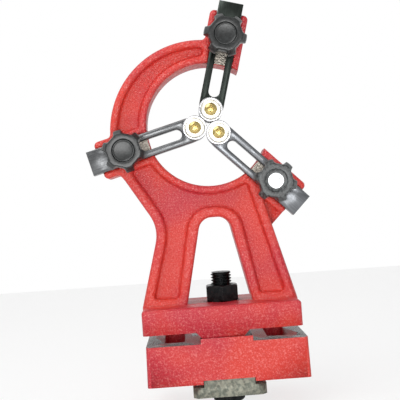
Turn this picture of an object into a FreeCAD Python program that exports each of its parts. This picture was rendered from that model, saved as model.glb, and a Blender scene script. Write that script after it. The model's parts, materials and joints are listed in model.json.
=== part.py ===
"""Fixed steady rest for a bench lathe, as a parametric FreeCAD document.

A cast C-shaped frame carries three slotted fingers in milled channels.  Each finger ends in a
shielded ball bearing that rolls on the work, and a star knob clamps it.  The frame stands on a
riser block, and one long bolt through both draws a clamp plate up under the lathe bed.

Axes: +Z up, +X to the right, -Y towards the operator's side with the knobs.  The origin is where
the clamp bolt's axis meets the riser's underside, which is the plane of the lathe bed.
Lengths are in millimetres and angles in degrees.
"""
import FreeCAD, Part
import math
import os
import Sketcher

doc = FreeCAD.newDocument("SteadyRest")

# ---------------------------------------------------------------- driving dimensions

DIMENSIONS = [
    # frame casting: ring
    ("work_axis_height", 170.0, "work axis above the lathe bed"),
    ("frame_shift", 2.0, "ring centre line to the left of the clamp bolt"),
    ("frame_thickness", 22.0, "casting, front to back"),
    ("ring_bore_radius", 41.5, "open throat of the ring"),
    ("ring_outer_radius", 61.3, "outside of the arm"),
    ("arm_shift_left", 4.9, "centre of the arm's outside, left of the work axis"),
    ("arm_shift_down", 3.6, "centre of the arm's outside, below the work axis"),
    ("arm_rim_width", 5.2, "raised rim along the arm's outside"),
    ("leg_rim_width", 6.8, "raised rims along the legs and the window"),
    ("bore_rim_width", 5.2, "raised rim round the ring's bore"),
    ("web_recess", 5.0, "depth of the web below the rims, each face"),
    ("rim_round", 2.4, "rounding of the rims' edges"),
    ("web_round", 2.0, "rounding where rims meet the web"),
    # frame casting: finger bosses
    ("first_finger_angle", 75.0, "upper finger, from +X towards +Z"),
    ("boss_reach", 77.2, "work axis to the bosses' outer faces"),
    ("boss_wall", 4.6, "walls beside each channel"),
    ("boss_round", 3.0, "upright corners of the bosses"),
    ("channel_depth", 6.0, "channel below the boss's front"),
    ("channel_clearance", 0.15, "finger to channel wall, each side"),
    ("gusset_width", 13.0, "web below the lower right boss"),
    ("gusset_step", 4.5, "gusset's face below the rims"),
    ("corner_round", 2.5, "inner corners of the webs"),
    # frame casting: legs and foot
    ("waist_height", 102.5, "corner of the waist above the bed"),
    ("waist_half_width", 37.9, "half width at the waist's corner"),
    ("waist_round", 24.0, "sweep of the waist"),
    ("shoulder_height", 136.0, "where the left leg runs into its boss"),
    ("shoulder_half_width", 58.4, "half width at that height"),
    ("foot_width", 104.4, "foot, side to side"),
    ("foot_depth", 58.0, "foot, front to back"),
    ("foot_height", 20.5, "seat to the foot's top face"),
    ("foot_relief", 4.0, "underside relief beside the tongue"),
    ("foot_round", 2.5, "edges of the foot"),
    ("tongue_width", 27.0, "foot tongue across its seat"),
    ("tongue_flare", 4.0, "widening of the tongue upwards, each side"),
    ("web_foot_gap", 4.5, "web recess above the foot's top face"),
    ("window_width", 43.6, "arched window at the foot"),
    ("window_top_width", 18.6, "arched window at its top"),
    ("window_height", 57.3, "window above the foot's top face"),
    ("window_arch_round", 9.0, "upper corners of the window"),
    # riser block
    ("riser_width", 106.6, "side to side"),
    ("riser_depth", 60.0, "front to back"),
    ("riser_height", 26.1, "bed to the riser's top face"),
    ("riser_draft", 0.6, "each side narrower at the top"),
    ("land_width", 34.0, "raised land under the tongue"),
    ("land_height", 3.4, "land above the top face"),
    ("bed_notch_width", 34.0, "notch over the bed's gap"),
    ("bed_notch_depth", 2.5, "notch above the bed plane"),
    ("pocket_width", 14.0, "cored pockets in the top face"),
    ("pocket_length", 34.0, "pockets, front to back"),
    ("pocket_depth", 9.0, "pockets below the top face"),
    ("pocket_spacing", 68.6, "pocket to pocket"),
    # bed clamp
    ("bolt_diameter", 14.0, "clamp bolt, M14"),
    ("bolt_hole_clearance", 0.5, "bolt to the casting's hole, radial"),
    ("thread_clearance", 0.05, "running fit of every screw in its thread, radial"),
    ("hex_across_flats", 21.0, "bolt head and nut"),
    ("hex_head_height", 8.4, "bolt head"),
    ("nut_height", 11.0, "clamp nut"),
    ("bolt_stand_out", 8.8, "bolt end above the nut"),
    ("plate_tongue_width", 33.2, "clamp plate's tongue in the notch"),
    ("plate_tongue_height", 5.0, "tongue above the flange"),
    ("plate_width", 48.0, "clamp plate, side to side"),
    ("plate_depth", 56.0, "clamp plate, front to back"),
    ("plate_thickness", 6.8, "clamp plate's flange"),
    ("plate_corner", 3.0, "bevelled corners of the flange"),
    # fingers
    ("finger_width", 16.6, "finger bar"),
    ("finger_thickness", 8.0, "finger bar"),
    ("finger_end", 83.6, "work axis to the finger's outer end"),
    ("finger_tip_radius", 7.9, "rounded tip under the roller"),
    ("finger_slot_width", 7.6, "slot for the clamp screw"),
    ("finger_slot_inner", 18.5, "work axis to the slot's inner end"),
    ("finger_slot_outer", 64.5, "work axis to the slot's outer end"),
    ("finger_bevel", 0.6, "front edges of the finger"),
    # rollers
    ("roller_diameter", 16.0, "ball bearing outside"),
    ("roller_gap", 0.2, "between the rollers with the fingers run in"),
    ("bearing_bore", 4.0, "ball bearing bore, M4 screw"),
    ("bearing_width", 5.0, "ball bearing width"),
    ("bearing_land", 7.8, "inner ring outside"),
    ("bearing_outer_bore", 12.6, "outer ring inside"),
    ("bearing_fit", 0.02, "balls and screw in the bearing, radial"),
    ("ball_diameter", 2.9, "bearing balls"),
    ("shield_thickness", 0.25, "bearing shields"),
    ("shield_gap", 0.15, "shield to the inner ring, radial"),
    ("cage_front", 0.9, "ball cage in front of the balls' centres"),
    ("cage_back", 2.0, "ball cage behind the balls' centres"),
    ("cage_wall", 0.9, "ball cage, radial"),
    ("spacer_thickness", 0.8, "washer between finger and bearing"),
    ("roller_head_diameter", 8.2, "pan head of the roller screw"),
    ("roller_head_height", 2.5, "pan head of the roller screw"),
    ("roller_screw_length", 12.0, "roller screw under its head"),
    ("cross_width", 0.9, "cross recess of the roller screw"),
    ("cross_length", 4.6, "cross recess of the roller screw"),
    ("cross_depth", 1.3, "cross recess of the roller screw"),
    # star knobs
    ("knob_distance", 58.7, "work axis to the clamp screws"),
    ("screw_diameter", 6.0, "clamp screw, M6"),
    ("screw_length", 23.5, "clamp screw under its head"),
    ("socket_head_diameter", 10.0, "clamp screw head"),
    ("socket_head_height", 5.0, "clamp screw head"),
    ("socket_width", 5.0, "hexagon socket across flats"),
    ("socket_depth", 3.0, "hexagon socket"),
    ("washer_diameter", 13.0, "washer under the knob"),
    ("washer_thickness", 1.2, "washer under the knob"),
    ("knob_radius", 14.6, "tips of the knob's lobes"),
    ("knob_face_radius", 11.4, "knob's front face"),
    ("knob_hub_radius", 7.4, "hub under the lobes"),
    ("knob_hub_height", 5.6, "hub under the lobes"),
    ("knob_lobe_height", 8.4, "lobes to the front face"),
    ("knob_scallop_radius", 6.0, "hollows between the lobes"),
    ("knob_scallop_place", 17.4, "knob axis to the centres of the hollows"),
    ("knob_round", 1.2, "edges of the lobes"),
    ("cap_radius", 7.3, "cap in the knob's face"),
    ("cap_depth", 2.0, "recess for the cap"),
    ("cap_thickness", 1.6, "cap at its rim"),
    ("cap_clearance", 0.05, "cap in its recess, radial"),
]

BALLS_PER_BEARING = 7
LOBES_PER_KNOB = 6
FINGERS = ["upper", "left", "lower"]
FINGER_PITCH = 360.0 / len(FINGERS)
FINGERS_WITH_CAP = ["upper", "left"]

sheet = doc.addObject("Spreadsheet::Sheet", "Sizes")
for row, (alias, value, note) in enumerate(DIMENSIONS, start=1):
    sheet.set(f"A{row}", note)
    sheet.set(f"B{row}", str(value))
    sheet.setAlias(f"B{row}", alias)
doc.recompute()


class Size:
    """A number together with the expression that makes it from the sheet."""

    def __init__(self, value, text):
        self.value = value
        self.text = text

    def __add__(self, other):
        other = as_size(other)
        return Size(self.value + other.value, f"({self.text} + {other.text})")

    def __radd__(self, other):
        return as_size(other) + self

    def __sub__(self, other):
        other = as_size(other)
        return Size(self.value - other.value, f"({self.text} - {other.text})")

    def __rsub__(self, other):
        return as_size(other) - self

    def __mul__(self, other):
        other = as_size(other)
        return Size(self.value * other.value, f"({self.text} * {other.text})")

    def __rmul__(self, other):
        return as_size(other) * self

    def __truediv__(self, other):
        other = as_size(other)
        return Size(self.value / other.value, f"({self.text} / {other.text})")

    def __neg__(self):
        return Size(-self.value, f"(0 - {self.text})")


def cosine(angle):
    """Cosine of a Size in degrees."""
    return Size(math.cos(math.radians(angle.value)), f"cos({angle.text})")


def sine(angle):
    """Sine of a Size in degrees."""
    return Size(math.sin(math.radians(angle.value)), f"sin({angle.text})")


def as_size(number):
    """Turn a plain number into a Size, and leave a Size alone."""
    if isinstance(number, Size):
        return number
    return Size(float(number), repr(float(number)))


class Sheet:
    """The sheet's cells as attributes: S.ring_bore_radius is a Size."""

    def __getattr__(self, alias):
        return Size(float(sheet.get(alias)), f"Sizes.{alias}")


S = Sheet()
ZERO = as_size(0)

# ---------------------------------------------------------------- dependent places

# Heights
SEAT = S.riser_height + S.land_height
FOOT_TOP = SEAT + S.foot_height
FOOT_RELIEF = SEAT + S.foot_relief
NUT_TOP = FOOT_TOP + S.nut_height
BOLT_TOP = NUT_TOP + S.bolt_stand_out
PLATE_TOP = S.bed_notch_depth - S.plate_tongue_height
PLATE_BOTTOM = PLATE_TOP - S.plate_thickness
HEAD_BOTTOM = PLATE_BOTTOM - S.hex_head_height

# Distances in front of the casting's middle plane, towards the operator
FRAME_FRONT = S.frame_thickness / 2
WEB_FRONT = FRAME_FRONT - S.web_recess
CHANNEL_FLOOR = FRAME_FRONT - S.channel_depth
FINGER_FRONT = CHANNEL_FLOOR + S.finger_thickness
BEARING_BACK = FINGER_FRONT + S.spacer_thickness
BEARING_FRONT = BEARING_BACK + S.bearing_width
WASHER_FRONT = FINGER_FRONT + S.washer_thickness
LOBE_BACK = WASHER_FRONT + S.knob_hub_height
KNOB_FRONT = LOBE_BACK + S.knob_lobe_height
CAP_SEAT = KNOB_FRONT - S.cap_depth
HEAD_SEAT = CAP_SEAT - S.socket_head_height

# Distances from the work axis
ROLLER_PLACE = (S.roller_diameter + S.roller_gap) / math.sqrt(3)
CHANNEL_WIDTH = S.finger_width + 2 * S.channel_clearance
BOSS_HALF = CHANNEL_WIDTH / 2 + S.boss_wall

# ---------------------------------------------------------------- helpers


def new_body(name):
    """An empty PartDesign body that becomes one node."""
    body = doc.addObject("PartDesign::Body", name)
    body.Label = name
    return body


def origin_plane(body, role):
    """One of the body's own origin planes."""
    for feature in body.Origin.OriginFeatures:
        if feature.Role == role:
            return feature
    raise ValueError(role)


def bind(thing, path, size):
    """Bind a property to the sheet."""
    thing.setExpression(path, as_size(size).text)


def new_sketch(body, name, role, offset=(0, 0, 0), turn=0):
    """A sketch on an origin plane, moved by offset in the plane's own axes and turned in it."""
    sketch = body.newObject("Sketcher::SketchObject", name)
    sketch.AttachmentSupport = [(origin_plane(body, role), "")]
    sketch.MapMode = "FlatFace"
    offset = [as_size(part) for part in offset]
    turn = as_size(turn)
    place = FreeCAD.Vector(*[part.value for part in offset])
    spin = FreeCAD.Rotation(FreeCAD.Vector(0, 0, 1), turn.value)
    sketch.AttachmentOffset = FreeCAD.Placement(place, spin)
    for axis, part in zip("xyz", offset):
        bind(sketch, f"AttachmentOffset.Base.{axis}", part)
    if turn.value:
        bind(sketch, "AttachmentOffset.Rotation.Angle", turn)
    return sketch


def pin_point(sketch, geometry, position, x, y):
    """Hold one point of a sketch at x, y from the sketch's origin."""
    for kind, size in (("DistanceX", x), ("DistanceY", y)):
        size = as_size(size)
        index = sketch.addConstraint(
            Sketcher.Constraint(kind, -1, 1, geometry, position, size.value))
        bind(sketch, f"Constraints[{index}]", size)


def draw_polygon(sketch, corners):
    """A closed outline of straight lines through the given corners."""
    corners = [(as_size(x), as_size(y)) for x, y in corners]
    points = [FreeCAD.Vector(x.value, y.value, 0) for x, y in corners]
    first = sketch.GeometryCount
    count = len(points)
    for i in range(count):
        sketch.addGeometry(Part.LineSegment(points[i], points[(i + 1) % count]), False)
    for i in range(count):
        following = first + (i + 1) % count
        sketch.addConstraint(Sketcher.Constraint("Coincident", first + i, 2, following, 1))
        pin_point(sketch, first + i, 1, *corners[i])


def draw_rectangle(sketch, left, right, bottom, top):
    """A rectangle between two x and two y places."""
    draw_polygon(sketch, [(left, bottom), (right, bottom), (right, top), (left, top)])


def draw_circle(sketch, x, y, radius):
    """A circle with its centre and radius bound."""
    x, y, radius = as_size(x), as_size(y), as_size(radius)
    centre = FreeCAD.Vector(x.value, y.value, 0)
    geometry = sketch.addGeometry(
        Part.Circle(centre, FreeCAD.Vector(0, 0, 1), radius.value), False)
    pin_point(sketch, geometry, 3, x, y)
    index = sketch.addConstraint(Sketcher.Constraint("Radius", geometry, radius.value))
    bind(sketch, f"Constraints[{index}]", radius)


def draw_hexagon(sketch, across_flats, start_angle):
    """A hexagon about the sketch's origin; start_angle is where its first corner points."""
    corner = as_size(across_flats) / math.sqrt(3)
    corners = []
    for i in range(6):
        angle = math.radians(start_angle + 60 * i)
        corners.append((corner * round(math.cos(angle), 12), corner * round(math.sin(angle), 12)))
    draw_polygon(sketch, corners)


def pad(body, name, sketch, length, both_ways=False):
    """Pad along the sketch's normal, or half to each side of it."""
    feature = body.newObject("PartDesign::Pad", name)
    feature.Profile = sketch
    feature.Midplane = both_ways
    feature.Length = as_size(length).value
    bind(feature, "Length", length)
    return feature


def pocket(body, name, sketch, depth, both_ways=False, reverse=False):
    """Cut against the sketch's normal, along it when reversed, or half to each side."""
    feature = body.newObject("PartDesign::Pocket", name)
    feature.Profile = sketch
    feature.Midplane = both_ways
    feature.Reversed = reverse
    feature.Length = as_size(depth).value
    bind(feature, "Length", depth)
    return feature


def round_edges(body, name, radius, chosen, kind="Fillet"):
    """Round (or bevel) the edges of the body's last feature for which chosen(edge) is true."""
    doc.recompute()
    base = body.Tip
    names = [f"Edge{i}" for i, edge in enumerate(base.Shape.Edges, start=1) if chosen(edge)]
    if not names:
        raise ValueError(f"{body.Label}: {name} found no edges")
    feature = body.newObject(f"PartDesign::{kind}", name)
    feature.Base = (base, names)
    size_name = "Radius" if kind == "Fillet" else "Size"
    setattr(feature, size_name, as_size(radius).value)
    bind(feature, size_name, radius)
    return feature


def middle(edge):
    """The middle of an edge's bounding box."""
    return edge.BoundBox.Center


def is_along_y(edge):
    """True for a straight edge that runs front to back."""
    box = edge.BoundBox
    return box.YLength > 0.1 and box.XLength < 1e-3 and box.ZLength < 1e-3


def lies_in_plane(edge, depth):
    """True for an edge that lies wholly at y = depth."""
    box = edge.BoundBox
    return abs(box.YMin - depth) < 1e-3 and abs(box.YMax - depth) < 1e-3


def near(x, z, distance=2.0):
    """A test for edges whose middle is at about x, z in the front view."""
    def test(edge):
        point = middle(edge)
        return math.hypot(point.x - as_size(x).value, point.z - as_size(z).value) < distance
    return test


def turned_body(name, corners, axis_x=ZERO):
    """A body turned about a front-to-back axis; corners are (radius, distance in front)."""
    body = new_body(name)
    sketch = new_sketch(body, f"{name}_profile", "XY_Plane", offset=(axis_x, 0, 0))
    draw_polygon(sketch, [(radius, -as_size(front)) for radius, front in corners])
    feature = body.newObject("PartDesign::Revolution", f"{name}_turning")
    feature.Profile = sketch
    feature.ReferenceAxis = (sketch, ["V_Axis"])
    feature.Angle = 360.0
    return body


def place_on_finger(thing, index):
    """Turn a piece about the work axis; its own +X then points out along the finger."""
    angle = S.first_finger_angle + FINGER_PITCH * index
    spin = FreeCAD.Rotation(FreeCAD.Vector(0, -1, 0), angle.value)
    place = FreeCAD.Vector(-S.frame_shift.value, 0, S.work_axis_height.value)
    thing.Placement = FreeCAD.Placement(place, spin)
    bind(thing, "Placement.Base.x", -S.frame_shift)
    bind(thing, "Placement.Base.z", S.work_axis_height)
    bind(thing, "Placement.Rotation.Angle", angle)


# ---------------------------------------------------------------- frame casting

# Directions of the two lower bosses, and how the legs taper.
LEFT_ANGLE = S.first_finger_angle + FINGER_PITCH
RIGHT_ANGLE = S.first_finger_angle - FINGER_PITCH
LEG_SLOPE = (S.foot_width / 2 - S.waist_half_width) / (S.waist_height - FOOT_TOP)
# A rim of even width round the waist's corner steps in by these shares of its width.
WAIST_STEP_ACROSS = 1.08
WAIST_STEP_UP = 0.15
# The web's edge runs on past the shoulder, into the left boss, by this share.
WEB_REACH = 1.3


def leg_half_width(height):
    """Half width of the legs at a height: a straight taper from the waist to the foot."""
    return S.waist_half_width + LEG_SLOPE * (S.waist_height - height)


def window_half_width(height):
    """Half width of the window at a height, before its corners are rounded."""
    slope = (S.window_width - S.window_top_width) / 2 / S.window_height
    return S.window_width / 2 - slope * (height - FOOT_TOP)


def boss_point(angle, along, across=0):
    """The point of the front view that lies along a boss from the work axis, and across it."""
    along, across = as_size(along), as_size(across)
    return (along * cosine(angle) - across * sine(angle),
            S.work_axis_height + along * sine(angle) + across * cosine(angle))


def leg_meets_right_boss():
    """Where the right leg's edge, drawn on upwards, meets the lower right boss's centre line."""
    run = leg_half_width(S.work_axis_height)
    x = run * cosine(RIGHT_ANGLE) / (cosine(RIGHT_ANGLE) + LEG_SLOPE * sine(RIGHT_ANGLE))
    return (x, S.work_axis_height + x * sine(RIGHT_ANGLE) / cosine(RIGHT_ANGLE))


def on_face(edge):
    """True for an edge in the casting's front or back plane."""
    return lies_in_plane(edge, -FRAME_FRONT.value) or lies_in_plane(edge, FRAME_FRONT.value)


def on_web(edge):
    """True for an edge in the plane of a sunk web."""
    return lies_in_plane(edge, -WEB_FRONT.value) or lies_in_plane(edge, WEB_FRONT.value)


def is_web_corner(edge):
    """True for an upright corner inside a sunk web."""
    return is_along_y(edge) and abs(edge.Length - S.web_recess.value) < 1e-3


def sink_web(body, name, draw):
    """Cut the same recess into the front and the back of the casting."""
    for side, face in (("front", FRAME_FRONT), ("back", -FRAME_FRONT)):
        sketch = new_sketch(body, f"{name}_{side}", "XZ_Plane", offset=(0, 0, face))
        draw(sketch)
        pocket(body, f"{name}_recess_{side}", sketch, S.web_recess, reverse=(side == "back"))


def add_foot(body):
    """The foot: a plate with a flared tongue below it that seats on the riser's land."""
    half = S.foot_width / 2
    tongue = S.tongue_width / 2
    sketch = new_sketch(body, "foot_outline", "XZ_Plane")
    draw_polygon(sketch, [
        (-half, FOOT_RELIEF), (-tongue - S.tongue_flare, FOOT_RELIEF), (-tongue, SEAT),
        (tongue, SEAT), (tongue + S.tongue_flare, FOOT_RELIEF), (half, FOOT_RELIEF),
        (half, FOOT_TOP), (-half, FOOT_TOP)])
    pad(body, "foot", sketch, S.foot_depth, both_ways=True)
    round_edges(body, "foot_corners", S.foot_round,
                lambda edge: edge.BoundBox.ZLength > 0.9 * (FOOT_TOP - FOOT_RELIEF).value
                and edge.BoundBox.XLength < 0.01)
    round_edges(body, "foot_edges", S.foot_round,
                lambda edge: abs(edge.BoundBox.ZMin - FOOT_TOP.value) < 1e-3)


def add_arm(body):
    """The C-shaped arm: a rounded disc whose web is sunk inside an outer rim."""
    centre = (-S.arm_shift_left, S.work_axis_height - S.arm_shift_down)
    sketch = new_sketch(body, "arm_outline", "XZ_Plane")
    draw_circle(sketch, *centre, S.ring_outer_radius)
    pad(body, "arm", sketch, S.frame_thickness, both_ways=True)
    sink_web(body, "arm_web",
             lambda sketch: draw_circle(sketch, *centre, S.ring_outer_radius - S.arm_rim_width))


def add_legs(body):
    """The A-shaped legs under the ring, with a swept waist on the left."""
    sketch = new_sketch(body, "leg_outline", "XZ_Plane")
    start = FOOT_RELIEF + S.foot_round
    draw_polygon(sketch, [
        (ZERO, S.work_axis_height),
        boss_point(LEFT_ANGLE, S.boss_reach - S.boss_wall),
        (-S.shoulder_half_width, S.shoulder_height),
        (-S.waist_half_width, S.waist_height),
        (-leg_half_width(FOOT_TOP), FOOT_TOP),
        (-leg_half_width(FOOT_TOP), start),
        (leg_half_width(FOOT_TOP), start),
        (leg_half_width(FOOT_TOP), FOOT_TOP),
        leg_meets_right_boss()])
    pad(body, "legs", sketch, S.frame_thickness, both_ways=True)
    at_waist = near(-S.waist_half_width, S.waist_height)
    round_edges(body, "waist", S.waist_round, lambda edge: is_along_y(edge) and at_waist(edge))


WEB_LOW = FOOT_TOP + S.web_foot_gap
WINDOW_TOP = FOOT_TOP + S.window_height
CROWN_HALF = window_half_width(WINDOW_TOP) + S.leg_rim_width
CROWN_TOP = WINDOW_TOP + S.leg_rim_width
WEB_WAIST = (-S.waist_half_width + WAIST_STEP_ACROSS * S.leg_rim_width,
             S.waist_height + WAIST_STEP_UP * S.leg_rim_width)


def sink_leg_web(body):
    """Sink the web between the legs' outer rims and the rim round the window."""
    rim = S.leg_rim_width
    boss_x, boss_z = leg_meets_right_boss()
    outline = [
        (ZERO, S.work_axis_height),
        boss_point(LEFT_ANGLE, S.ring_outer_radius),
        (WEB_WAIST[0] + WEB_REACH * (S.waist_half_width - S.shoulder_half_width),
         WEB_WAIST[1] + WEB_REACH * (S.shoulder_height - S.waist_height)),
        WEB_WAIST,
        (-leg_half_width(WEB_LOW) + rim, WEB_LOW),
        (-window_half_width(WEB_LOW) - rim, WEB_LOW),
        (-CROWN_HALF, CROWN_TOP),
        (CROWN_HALF, CROWN_TOP),
        (window_half_width(WEB_LOW) + rim, WEB_LOW),
        (leg_half_width(WEB_LOW) - rim, WEB_LOW),
        (boss_x - rim, boss_z)]
    sink_web(body, "leg_web", lambda sketch: draw_polygon(sketch, outline))


def is_crown_corner(edge):
    """True for the two upper corners of the rim round the window."""
    return is_web_corner(edge) and (near(-CROWN_HALF, CROWN_TOP)(edge)
                                    or near(CROWN_HALF, CROWN_TOP)(edge))


def is_waist_corner(edge):
    """True for the web's corner inside the waist."""
    return is_web_corner(edge) and near(*WEB_WAIST)(edge)


def round_webs(body):
    """Round the webs' upright corners, then their floors and the rims' crests."""
    round_edges(body, "web_corners", S.corner_round,
                lambda edge: is_web_corner(edge)
                and not is_crown_corner(edge) and not is_waist_corner(edge))
    round_edges(body, "leg_web_crown", S.window_arch_round + S.leg_rim_width, is_crown_corner)
    round_edges(body, "leg_web_waist", S.waist_round + S.leg_rim_width, is_waist_corner)
    round_edges(body, "web_fillets", S.web_round, on_web)
    round_edges(body, "rim_edges", S.rim_round,
                lambda edge: on_face(edge) and middle(edge).z > FOOT_TOP.value + 1)


def add_ring_rim(body):
    """The inner rim round the bore, and the mouth cut open to the right."""
    sketch = new_sketch(body, "ring_rim_outline", "XZ_Plane")
    draw_circle(sketch, 0, S.work_axis_height, S.ring_bore_radius + S.bore_rim_width)
    pad(body, "ring_rim", sketch, S.frame_thickness, both_ways=True)

    wide = 2 * S.ring_outer_radius
    sketch = new_sketch(body, "mouth_outline", "XZ_Plane", offset=(0, S.work_axis_height, 0),
                        turn=S.first_finger_angle)
    turn = math.radians(FINGER_PITCH)
    draw_polygon(sketch, [(0, 0), (wide, 0), (wide, -wide),
                          (wide * math.cos(turn), -wide * math.sin(turn))])
    pocket(body, "mouth", sketch, 2 * S.frame_thickness, both_ways=True)


def add_bosses(body):
    """Three bosses for the fingers, set evenly round the work axis."""
    sketch = new_sketch(body, "boss_outline", "XZ_Plane", offset=(0, S.work_axis_height, 0),
                        turn=S.first_finger_angle)
    draw_rectangle(sketch, S.ring_bore_radius / 2, S.boss_reach, -BOSS_HALF, BOSS_HALF)
    boss = pad(body, "boss", sketch, S.frame_thickness, both_ways=True)
    pattern_about(body, "bosses", [boss], sketch, len(FINGERS))
    corner = math.hypot(S.boss_reach.value, BOSS_HALF.value)

    def is_boss_corner(edge):
        point = middle(edge)
        distance = math.hypot(point.x, point.z - S.work_axis_height.value)
        return is_along_y(edge) and abs(distance - corner) < 0.1

    round_edges(body, "boss_corners", S.boss_round, is_boss_corner)
    round_edges(body, "boss_roots", S.boss_round, is_boss_root)


def is_boss_root(edge):
    """True for the upright corners outside the ring where a boss meets the arm or the leg."""
    point = middle(edge)
    distance = math.hypot(point.x, point.z - S.work_axis_height.value)
    inner = S.ring_outer_radius.value - S.arm_shift_left.value
    return (is_along_y(edge) and abs(edge.Length - S.frame_thickness.value) < 1e-3
            and inner < distance < S.boss_reach.value - S.boss_wall.value
            and point.z > S.shoulder_height.value - S.boss_wall.value)


def add_gusset(body):
    """The lower web between the right leg and its boss."""
    sketch = new_sketch(body, "gusset_outline", "XZ_Plane", offset=(0, 0, -FRAME_FRONT))
    low_x, low_z = boss_point(RIGHT_ANGLE, S.boss_reach, -BOSS_HALF - S.gusset_width)
    draw_polygon(sketch, [
        boss_point(RIGHT_ANGLE, S.boss_reach), (low_x, low_z),
        (leg_half_width(low_z) - S.leg_rim_width / 2, low_z), leg_meets_right_boss()])
    pad(body, "gusset", sketch, S.frame_thickness - S.gusset_step)


def pattern_about(body, name, features, sketch, count):
    """Repeat features round the normal through a sketch's origin."""
    pattern = body.newObject("PartDesign::PolarPattern", name)
    pattern.Originals = features
    pattern.Axis = (sketch, ["N_Axis"])
    pattern.Angle = 360.0
    pattern.Occurrences = count
    body.Tip = pattern
    return pattern


def cut_openings(body):
    """The ring's bore and the arched window between the legs."""
    sketch = new_sketch(body, "bore_outline", "XZ_Plane")
    draw_circle(sketch, 0, S.work_axis_height, S.ring_bore_radius)
    pocket(body, "bore", sketch, 2 * S.frame_thickness, both_ways=True)

    top = FOOT_TOP + S.window_height
    sketch = new_sketch(body, "window_outline", "XZ_Plane")
    half = window_half_width(top)
    draw_polygon(sketch, [(-S.window_width / 2, FOOT_TOP), (S.window_width / 2, FOOT_TOP),
                          (half, top), (-half, top)])
    pocket(body, "window", sketch, 2 * S.foot_depth, both_ways=True)
    round_edges(body, "window_arch", S.window_arch_round,
                lambda edge: is_along_y(edge)
                and (near(-half, top)(edge) or near(half, top)(edge)))


def cut_channels(body):
    """A milled channel in each boss, with a tapped hole for the clamp screw."""
    sketch = new_sketch(body, "channel_outline", "XZ_Plane",
                        offset=(0, S.work_axis_height, FRAME_FRONT), turn=S.first_finger_angle)
    draw_rectangle(sketch, 0, S.boss_reach + S.boss_wall, -CHANNEL_WIDTH / 2, CHANNEL_WIDTH / 2)
    channel = pocket(body, "channel", sketch, S.channel_depth)
    hole_sketch = new_sketch(body, "screw_hole_outline", "XZ_Plane",
                             offset=(0, S.work_axis_height, FRAME_FRONT),
                             turn=S.first_finger_angle)
    draw_circle(hole_sketch, S.knob_distance, 0, S.screw_diameter / 2 + S.thread_clearance)
    hole = pocket(body, "screw_hole", hole_sketch, 2 * S.frame_thickness)
    pattern_about(body, "channels", [channel, hole], sketch, len(FINGERS))


def cut_bolt_hole(body, across, clearance):
    """The clamp bolt's clearance hole, right through."""
    sketch = new_sketch(body, f"{body.Label}_bolt_hole_outline", "XY_Plane")
    draw_circle(sketch, across, 0, S.bolt_diameter / 2 + clearance)
    pocket(body, f"{body.Label}_bolt_hole", sketch, 2 * BOLT_TOP, both_ways=True)


def make_frame_casting():
    """The painted casting, built up from the foot to the bosses and then machined."""
    body = new_body("frame_casting")
    add_foot(body)
    add_arm(body)
    add_legs(body)
    sink_leg_web(body)
    add_ring_rim(body)
    add_bosses(body)
    add_gusset(body)
    cut_openings(body)
    round_webs(body)
    cut_channels(body)
    cut_bolt_hole(body, S.frame_shift, S.bolt_hole_clearance)
    body.Placement.Base = FreeCAD.Vector(-S.frame_shift.value, 0, 0)
    bind(body, "Placement.Base.x", -S.frame_shift)
    return body


# ---------------------------------------------------------------- riser block and bed clamp


def make_riser_block():
    """The block under the foot: a land on top, a notch below, and two cored pockets."""
    body = new_body("riser_block")
    half = S.riser_width / 2
    top = half - S.riser_draft
    land = S.land_width / 2
    notch = S.bed_notch_width / 2
    sketch = new_sketch(body, "riser_outline", "XZ_Plane")
    draw_polygon(sketch, [
        (-half, 0), (-notch, 0), (-notch, S.bed_notch_depth), (notch, S.bed_notch_depth),
        (notch, 0), (half, 0), (top, S.riser_height), (land, S.riser_height), (land, SEAT),
        (-land, SEAT), (-land, S.riser_height), (-top, S.riser_height)])
    pad(body, "riser", sketch, S.riser_depth, both_ways=True)
    round_edges(body, "riser_corners", S.foot_round,
                lambda edge: edge.BoundBox.ZLength > 0.9 * S.riser_height.value)

    sketch = new_sketch(body, "pocket_outline", "XY_Plane", offset=(0, 0, S.riser_height))
    reach = S.pocket_length / 2
    for side in (-1, 1):
        inner = side * (S.pocket_spacing - S.pocket_width) / 2
        outer = side * (S.pocket_spacing + S.pocket_width) / 2
        draw_rectangle(sketch, inner, outer, -reach, reach)
    pocket(body, "pockets", sketch, S.pocket_depth)
    pocket_floor = (S.riser_height - S.pocket_depth).value
    round_edges(body, "pocket_corners", S.corner_round,
                lambda edge: abs(edge.Length - S.pocket_depth.value) < 1e-3
                and abs(edge.BoundBox.ZMin - pocket_floor) < 1e-3
                and edge.BoundBox.ZLength > 1)
    cut_bolt_hole(body, 0, S.bolt_hole_clearance)
    return body


def make_clamp_plate():
    """The T-shaped plate under the bed: its tongue runs in the riser's notch."""
    body = new_body("clamp_plate")
    half = S.plate_width / 2
    tongue = S.plate_tongue_width / 2
    sketch = new_sketch(body, "plate_outline", "XZ_Plane")
    draw_polygon(sketch, [
        (-half, PLATE_BOTTOM), (half, PLATE_BOTTOM), (half, PLATE_TOP), (tongue, PLATE_TOP),
        (tongue, S.bed_notch_depth), (-tongue, S.bed_notch_depth), (-tongue, PLATE_TOP),
        (-half, PLATE_TOP)])
    pad(body, "plate", sketch, S.plate_depth, both_ways=True)
    round_edges(body, "plate_corners", S.plate_corner,
                lambda edge: abs(edge.Length - S.plate_thickness.value) < 1e-3
                and edge.BoundBox.ZLength > 1, kind="Chamfer")
    cut_bolt_hole(body, 0, S.thread_clearance)
    return body


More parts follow.
